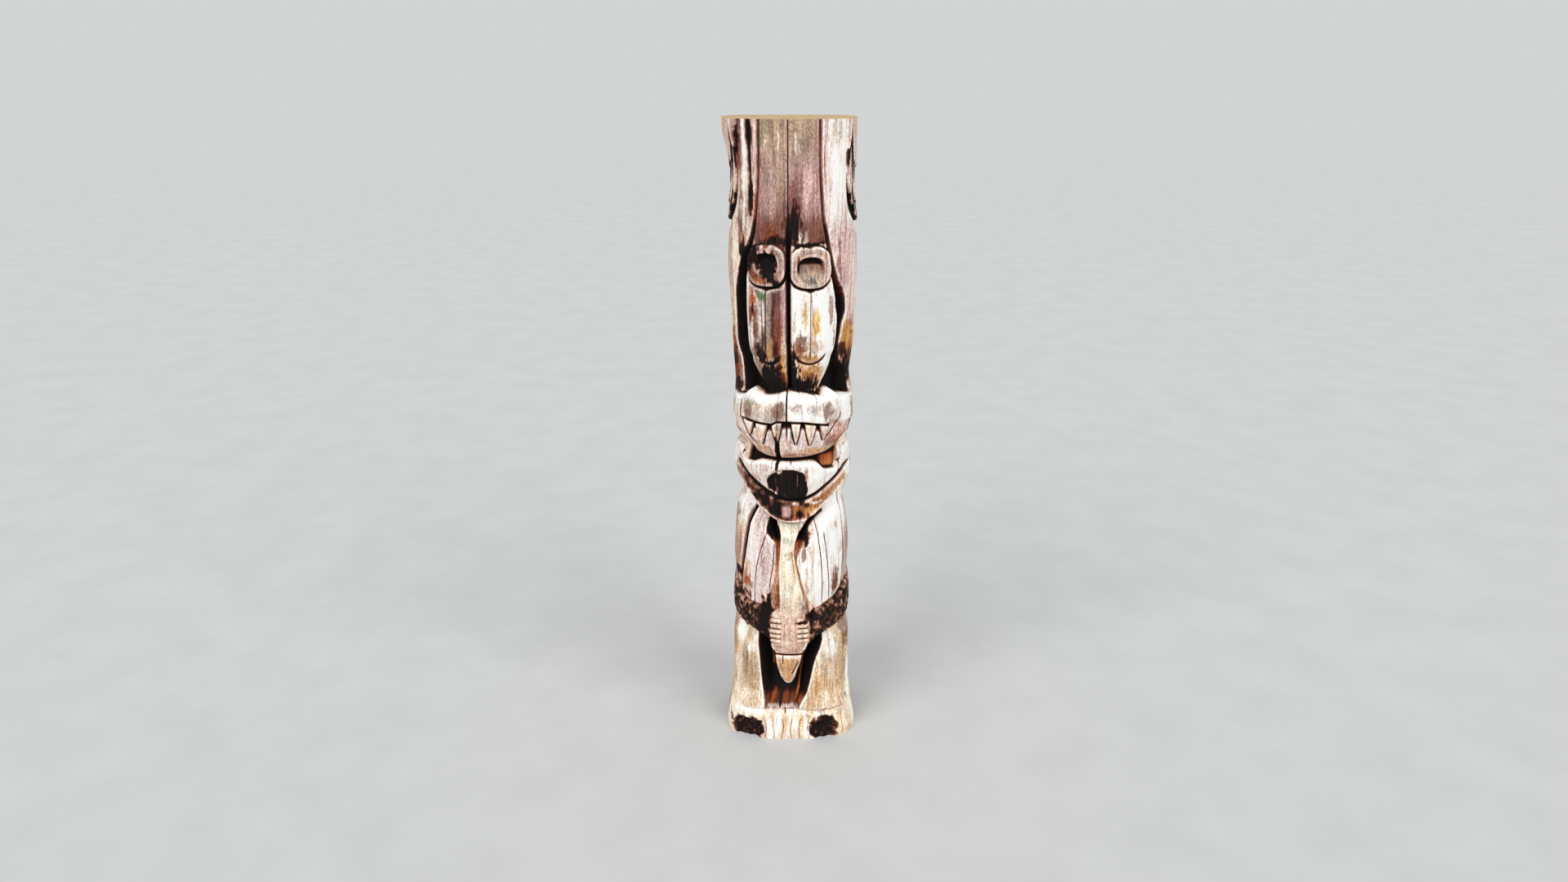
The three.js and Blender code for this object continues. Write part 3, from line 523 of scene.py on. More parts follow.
def muzzle(u, z, x):
    below = muzzle_top(u) - z
    from_bottom = z - muzzle_bottom(u)
    worn = noise(u, z, 34, 50, 65, 3)
    left = ease(-20, -45, x)
    # The upper lip, with painted shade along its top edge under the lobes.
    upper = coat(lip_face(below), shades(
        "white",
        ("tan", left * ease(-0.2, 0.6, worn) * 0.7),
        ("olive", left * 0.4 * ease(40, 100, below)),
        ("ash", left * 0.6 * ease(24, 60, below) * ease(-0.1, 0.5, -worn)),
        ("grey", 0.35 * (1 - left) * ease(0.15, 0.5, worn)),
    ), 0.9 * ease(6, -2, below))
    # Painted shade along the upper lip's lower edge.
    darkened(upper, 0.3 * ease(152, 172, below) * (np.abs(x) < 240))
    rise, outline, gap = teeth(u, z)
    # Towards the muzzle's bottom the lip and cheeks turn ochre, rust and black, and the teeth ochre towards
    # their tips: painted shade on the undersides.
    shade_near_bottom = ease(80, 18, from_bottom)
    h = lower_lip(from_bottom) + TOOTH_RISE * rise - TOOTH_OUTLINE * outline - GAP_DEPTH * gap
    under = coat(h, shades(
        "lilac",
        ("tan", 0.35 * ease(-0.1, 0.5, worn)),
        ("cream", 0.6 * rise),
        ("ochre", 0.55 * rise * ease(1935, 1880, z) + 0.3 * rise * ease(0, 0.5, worn)),
        ("ochre", 0.7 * shade_near_bottom),
        ("rust", 0.6 * ease(40, 4, from_bottom)),
    ), 0.8 * ease(8, -2, from_bottom))
    # Painted shade in the teeth's outlines and in the gaps between them.
    darkened(under, np.maximum(0.85 * outline, 1.1 * gap))
    cheek = coat(np.minimum(upper[TALL], lower_lip(from_bottom) + 6), shades(
        "lilac",
        ("tan", clamp(0.3 + worn)),
        ("ochre", 0.4 * shade_near_bottom),
        ("rust", 0.5 * ease(30, 4, from_bottom)),
    ), 0.6 * ease(12, 0, from_bottom))
    line = tooth_line(u)
    in_mouth = within(mouth_left(z), mouth_right(z), 3, u) * ease(line + 2, line - 2, z)
    form = mix(mix(cheek, upper, ease(-2, 2, z - line)), under, in_mouth)
    scored(form, z - line, 6, 12, within(across(-266), across(188), 8, u))
    scored(form, u - mouth_left(z), 5, 11, within(1830, 2080, 20, z), 0.8)
    scored(form, u - mouth_right(z), 5, 13, within(1860, 1990, 20, z))
    scored(form, u - across(-30), 4, 12, ease(1800, 1960, z))
    scored(form, u - across(-80), 11, 26, ease(1852, 1832, z))
    return form


# The second head under the muzzle: a broad snout with a hollow nose, over a V-shaped jaw

head_top = around(
    (-338, 1776), (-300, 1774), (-284, 1764), (-262, 1722), (-240, 1716), (-168, 1738), (-80, 1736),
    (100, 1737), (134, 1730), (160, 1706), (182, 1682), (250, 1672), (272, 1735), (296, 1772),
    (338, 1776),
)
mouth_line = around(
    (-338, 1668), (-300, 1652), (-250, 1612), (-150, 1548), (-100, 1524), (-30, 1508), (40, 1507),
    (120, 1530), (200, 1580), (300, 1642), (338, 1662),
)
jaw_line = around(
    (-338, 1592), (-290, 1543), (-200, 1452), (-150, 1425), (-70, 1382), (0, 1373), (60, 1378),
    (100, 1400), (200, 1470), (290, 1545), (338, 1594),
)
NOSE_HOLLOW = (-32, 1600, 110, 96)
# The black on it: ovals that run together
NOSE_BLACKS = ((-8, 1606, 86, 84), (-104, 1606, 34, 58), (34, 1560, 52, 60), (-60, 1560, 40, 54))
# Pale streaks that run down the black nose: where, from where, to where, how broad and how pale
NOSE_STREAKS = ((-98, 1590, 1640, 7, 0.6), (-62, 1580, 1700, 4, 0.5), (8, 1540, 1650, 3, 0.4),
                (30, 1580, 1700, 5, 0.8), (52, 1550, 1600, 4, 0.5), (-88, 1530, 1590, 8, 0.8),
                (-30, 1640, 1710, 5, 0.6), (-14, 1590, 1640, 3, 0.4), (-44, 1510, 1560, 5, 0.5))


NOSE_DEPTH = 26
SNOUT_START = -44
SNOUT_LEVEL = -8
SNOUT_CROWN = 22
LIP_SLOPE = 14
JAW_LEVEL = -13
JAW_CROWN = 12
JAW_RIM = 11
CHIN_RISE = 5


def snout(u, z, x):
    from_top = head_top(u) - z
    worn = noise(u, z, 26, 90, 66, 3)
    h = mix(SNOUT_START, SNOUT_LEVEL + SNOUT_CROWN * head_spread(u), ease(-3, 14, from_top))
    h -= LIP_SLOPE * ease(mouth_line(u) + 110, mouth_line(u), z)
    left = ease(-70, -150, x)
    # The snout, with painted shade along its top edge under the muzzle.
    form = coat(h, shades(
        "white",
        ("cream", 0.4 * ease(0, 0.5, worn)),
        ("rose", left * clamp(0.35 + 0.8 * worn)),
        ("tan", left * 0.5 * ease(0, 0.5, -worn)),
    ), 0.5 * ease(8, 2, from_top) * (np.abs(x) < 250))
    ragged = 9 * noise(u, z, 24, 36, 67, 3) + 5 * noise(u, z, 7, 40, 77, 2)
    form[TALL] -= NOSE_DEPTH * ease(-4, 22, inside_oval(u, z, NOSE_HOLLOW, 2.6)) * ease(1510, 1600, z)
    inside = np.max([inside_oval(u, z, black, 2.2) for black in NOSE_BLACKS], axis=0)
    # The nose is blackened over its hollow, and paler along the streaks.
    nose_black = ease(-3, 5, inside + ragged)
    for at, low, high, half_width, share in NOSE_STREAKS:
        nose_black = nose_black * (1 - share * bell(u - across(at), half_width) * within(low, high, 14, z))
    stain(form, "dark", 0.7 * ease(-6, 4, inside + ragged))
    darkened(form, nose_black * 1.3)
    scored(form, u - across(-284), 6, 14, within(1730, 1800, 14, z))
    scored(form, u - across(268), 7, 24, within(1645, 1750, 10, z))
    return form


def jaw(u, z, x):
    chin = dome(across(-64), across(-2), u) * within(1404, 1472, 20, z)
    right = ease(-8, 8, x)
    worn = noise(u, z, 30, 30, 68, 3)
    form = coat(JAW_LEVEL + JAW_CROWN * head_spread(u) + CHIN_RISE * chin, shades(
        "grey",
        ("plum", 0.4 * (1 - right)),
        ("orange", right * 0.9),
        ("rust", right * ease(0.1, -0.4, worn) * ease(260, 160, x)),
        ("ochre", right * ease(-0.1, 0.5, worn)),
        ("tan", ease(120, 230, x) * 0.6 * ease(0.2, -0.4, worn)),
        ("rose", 0.8 * chin * ease(-0.6, 0.2, worn)),
    ), mix(0.75, 0.1, right) + 0.6 * worn - 0.9 * chin)
    form[SOOT_AND_SHADE] = clamp(form[SOOT_AND_SHADE] - 0.6 * ease(200, 290, np.abs(x)))
    darkened(form, 1.1 * within(across(-112), across(-66), 8, u) * within(1420, 1500, 20, z))
    return form


def second_head(u, z, x):
    form = mix(snout(u, z, x), jaw(u, z, x), ease(mouth_line(u) + 3, mouth_line(u) - 3, z))
    scored(form, z - mouth_line(u), np.where(u < across(-100), 17, 11), 28)
    ridge = z - jaw_line(u)
    form[TALL] += JAW_RIM * bell(ridge - 12, 14)
    rim = bell(ridge - 9, 8)
    stain(form, shades("lilac", ("white", ease(0, 80, x))), rim)
    form[SOOT_AND_SHADE] *= 1 - rim
    return form


# The body: a slim chest between two folded wings, with an upper arm down the left side

chest_left = upright(
    (1410, -118), (1373, -108), (1345, -98), (1320, -84), (1265, -72), (1200, -74), (1100, -82),
    (1000, -78), (830, -76),
)
chest_right = upright(
    (1410, 122), (1373, 106), (1345, 84), (1315, 56), (1285, 36), (1240, 20), (1190, 14),
    (1100, 28), (1000, 48), (900, 70), (830, 86),
)
wing_left = upright(
    (1420, -118), (1390, -138), (1330, -149), (1300, -142), (1275, -120), (1245, -98), (1150, -94),
    (1050, -98), (1000, -106), (940, -130), (880, -152), (830, -178),
)
wing_right = upright(
    (1420, 190), (1390, 148), (1340, 100), (1285, 76), (1225, 56), (1180, 36), (1140, 26),
    (1060, 43), (1000, 57), (940, 76), (880, 102), (820, 140),
)
arm_line = upright(
    (1490, -218), (1400, -236), (1300, -252), (1200, -263), (1000, -288), (880, -304)
)
hole_depth = curve(
    (1430, 52), (1385, 95), (1300, 90), (1235, 34), (1180, 18), (1050, 15), (830, 22)
)
# Thin lines cut in the folded wings: the line and the heights between which it shows
FEATHER_LINES = (
    (upright((1310, -148), (1200, -175), (1100, -195), (1000, -205), (830, -218)), 850, 1330),
    (upright((1260, -103), (1100, -113), (950, -130)), 960, 1240),
    (upright((1370, 139), (1300, 145), (1150, 161), (1000, 170), (860, 174)), 870, 1390),
    (upright((1310, 178), (1200, 190), (1050, 203), (880, 214)), 890, 1300),
)


CHEST_LEVEL = -14
CHEST_CROWN = 13
FOLDED_WING_LEVEL = -6
FOLDED_WING_CROWN = 17
LAP_DROP = 14
UNDER_JAW = 34


def body(u, z, x):
    left, right = wing_left(z), wing_right(z)
    # The holes beside the chest: orange and tan, black with painted shade at their deepest, towards the
    # top.
    floor = coat(-hole_depth(z), shades("orange", ("tan", 0.6 * ease(1180, 1000, z))),
                 1.2 * ease(1225, 1290, z))
    worn = noise(u, z, 24, 70, 69, 3)
    chest = coat(CHEST_LEVEL + CHEST_CROWN * dome(chest_left(z), chest_right(z), u), shades(
        "ivory",
        ("white", 0.5 * ease(0, 0.6, worn)),
        ("olive", 0.45 * ease(0.1, 0.6, -worn)),
        ("tan", 0.6 * ease(960, 850, z)),
    ))
    start = np.minimum(np.abs(np.where(u < 0, left, right)), 300)
    h = FOLDED_WING_LEVEL + FOLDED_WING_CROWN * dome(start, 420, np.minimum(np.abs(u), 400))
    h -= LAP_DROP * ease(1020, 860, z)
    on_left = x < 0
    outer = ease(-6, 10, arm_line(z) - u)
    edge_strip = ease(268, 296, x) * ease(1400, 1180, z)
    sides = coat(h, np.where(
        on_left,
        shades("lilac", ("rose", clamp(0.25 + 0.6 * worn) * (1 - outer) * ease(-210, -190, x)),
               ("white", 0.5 * ease(-190, -220, x)),
               ("ochre", outer * ease(1380, 1280, z) * 0.6), ("rust", outer * ease(1300, 1180, z) * 0.5),
               ("grey", 0.4 * outer * ease(0, 0.5, worn))),
        shades("white", ("lilac", 0.8 * ease(0, 0.6, worn)), ("tan", 0.4 * ease(0.3, 0.7, worn)),
               ("brown", 0.7 * edge_strip)),
    ))
    for line, low, high in FEATHER_LINES:
        scored(sides, u - line(z), 2.8, 6, within(low, high, 20, z), 0.75)
    scored(sides, u - arm_line(z), 12, 34, ease(860, 920, z))
    scored(sides, u - across(293), 10, 8, ease(900, 980, z), 0.35)
    form = laid(floor, sides, np.maximum(left - u, u - right), -6, 3)
    form = laid(form, chest, np.minimum(u - chest_left(z), chest_right(z) - u), -6, 3)
    under_jaw = jaw_line(u) - z
    form[TALL] -= UNDER_JAW * ease(150, 0, under_jaw) * ease(-10, 4, under_jaw)
    # Painted shade under the jaw's overhang.
    darkened(form, 0.45 * ease(26, 4, under_jaw) * ease(-10, 0, under_jaw))
    return form


# Forearms that come round from the sides, and the fingers laid on the middle piece

ARMS = (
    dict(
        top=around((-338, 950), (-310, 938), (-290, 897), (-250, 862), (-150, 845), (-118, 822)),
        bottom=around((-338, 736), (-290, 722), (-246, 710), (-200, 692), (-150, 668), (-118, 650)),
        ends=(-900, across(-112)),
    ),
    dict(
        top=around((92, 766), (145, 828), (196, 866), (250, 893), (295, 944), (338, 966)),
        bottom=around((92, 628), (126, 656), (177, 680), (213, 696), (250, 708), (338, 736)),
        ends=(across(88), 900),
    ),
)
FINGER_PITCH = 31
FINGER_COUNT = 5
# The fingers' inner and outer ends, and the height where they start
FINGERS = ((-118, -58, 790), (28, 88, 794))


def arms(u, z):
    """How far a point is up on an arm's rounded top, from 0 off it to 1 on its middle."""
    most = np.zeros_like(u)
    for arm in ARMS:
        top, bottom = arm["top"](u), arm["bottom"](u)
        edge = ease(-3, 10, np.minimum(top - z, z - bottom)) * within(*arm["ends"], 6, u)
        most = np.maximum(most, edge * (0.4 + 0.6 * dome(bottom, top, z)))
    return most


# The middle piece: a long face whose chin hangs between the legs

face_left = upright(
    (860, -78), (800, -122), (700, -129), (640, -126), (600, -117), (560, -99), (500, -93),
    (450, -84), (400, -71), (366, -54), (352, -40),
)
face_right = upright(
    (860, 88), (800, 100), (700, 98), (640, 95), (600, 86), (560, 64), (500, 53), (450, 38),
    (400, 26), (366, 11), (352, -2),
)
face_level = curve(
    (860, -6), (780, 4), (690, 16), (600, 10), (570, 3), (548, 11), (500, 6), (420, -8), (350, -26)
)
FACE_BOTTOM = 348
CREASE_HEIGHT = 561

# The legs, and the deep cavity between them

cavity_left = upright((720, -206), (650, -190), (500, -177), (400, -170), (300, -160), (190, -146))
cavity_right = upright(
    (720, 186), (650, 172), (600, 161), (550, 145), (500, 127), (400, 107), (300, 85), (190, 42)
)
cavity_depth = curve(
    (720, 74), (640, 100), (500, 114), (390, 106), (300, 78), (230, 42), (186, 10)
)


LEG_LEVEL = -2
LEG_CROWN = 14
LEG_BACK = 620
KNEE_DROP = 20
LEDGE = 26


def legs(u, z, x):
    left, right = cavity_left(z), cavity_right(z)
    edge = np.abs(np.where(u < 0, left, right))
    worn = noise(u, z, 44, 130, 70, 3)
    h = LEG_LEVEL + LEG_CROWN * dome(edge, LEG_BACK, np.abs(u)) - KNEE_DROP * ease(610, 700, z)
    # The legs, with painted shade at their tops under the forearms.
    leg = coat(h, shades(
        "sand",
        ("cream", ease(0.1, 0.6, worn)),
        ("brown", 0.25 * ease(0.1, 0.5, -worn)),
        ("cream", 0.6 * ease(60, 20, np.abs(u) - edge)),
    ), 0.4 * ease(660, 720, z))
    walls = (
        bell(u - left - 32, 15) * within(430, 610, 20, z)
        + bell(u - right + 36, 12) * within(230, 560, 30, z)
    )
    streaky = noise(u, z, 12, 160, 73, 3)
    # The cavity's floor: rust and orange, black with painted shade above its low end, less so on its
    # ledges.
    floor = coat(
        LEDGE * walls - cavity_depth(z),
        shades("rust", ("dark", ease(-0.4, 0.4, streaky)), ("orange", 0.6 * walls)),
        1.1 * ease(240, 320, z) - LEDGE / 22 * walls + 0.25 * streaky,
    )
    return laid(floor, leg, np.maximum(left - u, u - right), -7, 5)


ARM_LEVEL = -4
ARM_RISE = 32
FACE_CROWN = 10
FINGER_RELIEF = 12
FINGER_DROP = 6


def face(u, z, x):
    worn = noise(u, z, 20, 50, 74, 3)
    chin = ease(CREASE_HEIGHT + 4, CREASE_HEIGHT - 4, z)
    # The face, with two painted highlights: a pale bar below the fingers and a pale rim on the lower beak's
    # top, under the crease.
    form = coat(face_level(z) + FACE_CROWN * dome(face_left(z), face_right(z), u), shades(
        "tan",
        ("rose", 0.6 * ease(-0.3, 0.4, worn) * (1 - chin)),
        ("cream", 0.7 * within(625, 655, 12, z) * ease(20, -30, x)),
        ("ochre", 0.55 * chin),
        ("cream", 0.7 * within(CREASE_HEIGHT - 26, CREASE_HEIGHT - 6, 6, z)),
    ))
    scored(form, z - CREASE_HEIGHT, 4, 9)
    scored(form, u - across(-50), 3, 6, within(500, 556, 8, z), 0.9)
    scored(form, u - across(18) - (z - 470) * 0.45, 4, 6, within(425, 515, 8, z), 0.9)
    return form


def lower_body(u, z, x):
    form = mix(legs(u, z, x), body(u, z, x), ease(700, 760, z))
    on_arm = arms(u, z)
    rough = noise(u, z, 13, 15, 75, 3)
    burnt = shades("ash", ("tan", ease(0.2, 0.5, rough)))
    skin = coat(ARM_LEVEL + ARM_RISE * on_arm, burnt, 0.62 - 0.75 * rough)
    form = mix(form, skin, ease(0, 0.3, on_arm))
    in_face = np.minimum(np.minimum(u - face_left(z), face_right(z) - u), 1.4 * (z - FACE_BOTTOM))
    form = mix(form, face(u, z, x), ease(-2, 9, in_face) * ease(850, 800, z))
    for inner, outer, top in FINGERS:
        along = (top - z) / (FINGER_PITCH * FINGER_COUNT)
        knuckles = np.abs(np.sin(np.pi * (top - z) / FINGER_PITCH))
        on_fingers = within(across(inner), across(outer), 5, u) * within(0.01, 0.99, 0.01, along)
        form[TALL] += (FINGER_RELIEF * np.sqrt(knuckles) - FINGER_DROP) * on_fingers
        # Each finger is pale sand on its rounded top, with painted shade in the creases between them.
        stain(form, "sand", (0.5 + 0.5 * rough) * on_fingers * knuckles)
        form[SOOT_AND_SHADE] *= 1 - 0.8 * on_fingers
        darkened(form, (0.7 + 0.6 * rough) * ease(0.45, 0.15, knuckles) * on_fingers)
    return form


# The foot: a block with a flat front, toes and two rotted hollows at its corners

FOOT_TOP = 184
TOES = (-152, -106, -52, -4, 46, 96)
ROT = ((-258, 50, 104, 92), (190, 60, 98, 84))


FOOT_LEVEL = 6
FOOT_BEVEL = 10
ROT_DEPTH = 24


def foot(u, z, x):
    worn = noise(u, z, 22, 90, 76, 3)
    form = coat(FOOT_LEVEL - FOOT_BEVEL * ease(150, FOOT_TOP, z), shades(
        "cream", ("white", ease(0, 0.5, worn)), ("gold", 0.5 * ease(0, 0.5, -worn)),
        ("ochre", 0.3 * ease(60, 0, z)),
    ))
    for toe in TOES:
        place = x - toe - 4 * np.sin(z / 23 + toe)
        scored(form, place, 3, 6, ease(150, 110, z), 0.4)
    ragged = noise(u, z, 34, 34, 71, 3)
    rough = noise(u, z, 15, 15, 72, 2)
    for centre, height, half_width, half_height in ROT:
        inside = 1 - np.hypot((x - centre) / half_width, (z - height) / half_height) + 0.28 * ragged
        rot = ease(-0.05, 0.25, inside + 0.1 * rough) * ease(520, 470, np.abs(u))
        form[TALL] -= (ROT_DEPTH * ease(0, 0.6, inside) + 7 * rough + 5) * rot
        stain(form, shades("brown", ("rose", 0.5 * ease(0.3, 0.7, rough))), rot)
        darkened(form, rot * (0.85 - 0.8 * rough))
    return form


# Stains, worn places, coloured patches, painted highlights and patches of soot and painted shade that the
# carving does not explain: the colour, or the soot-and-shade mark, then x, z, half width, half height and
# strength

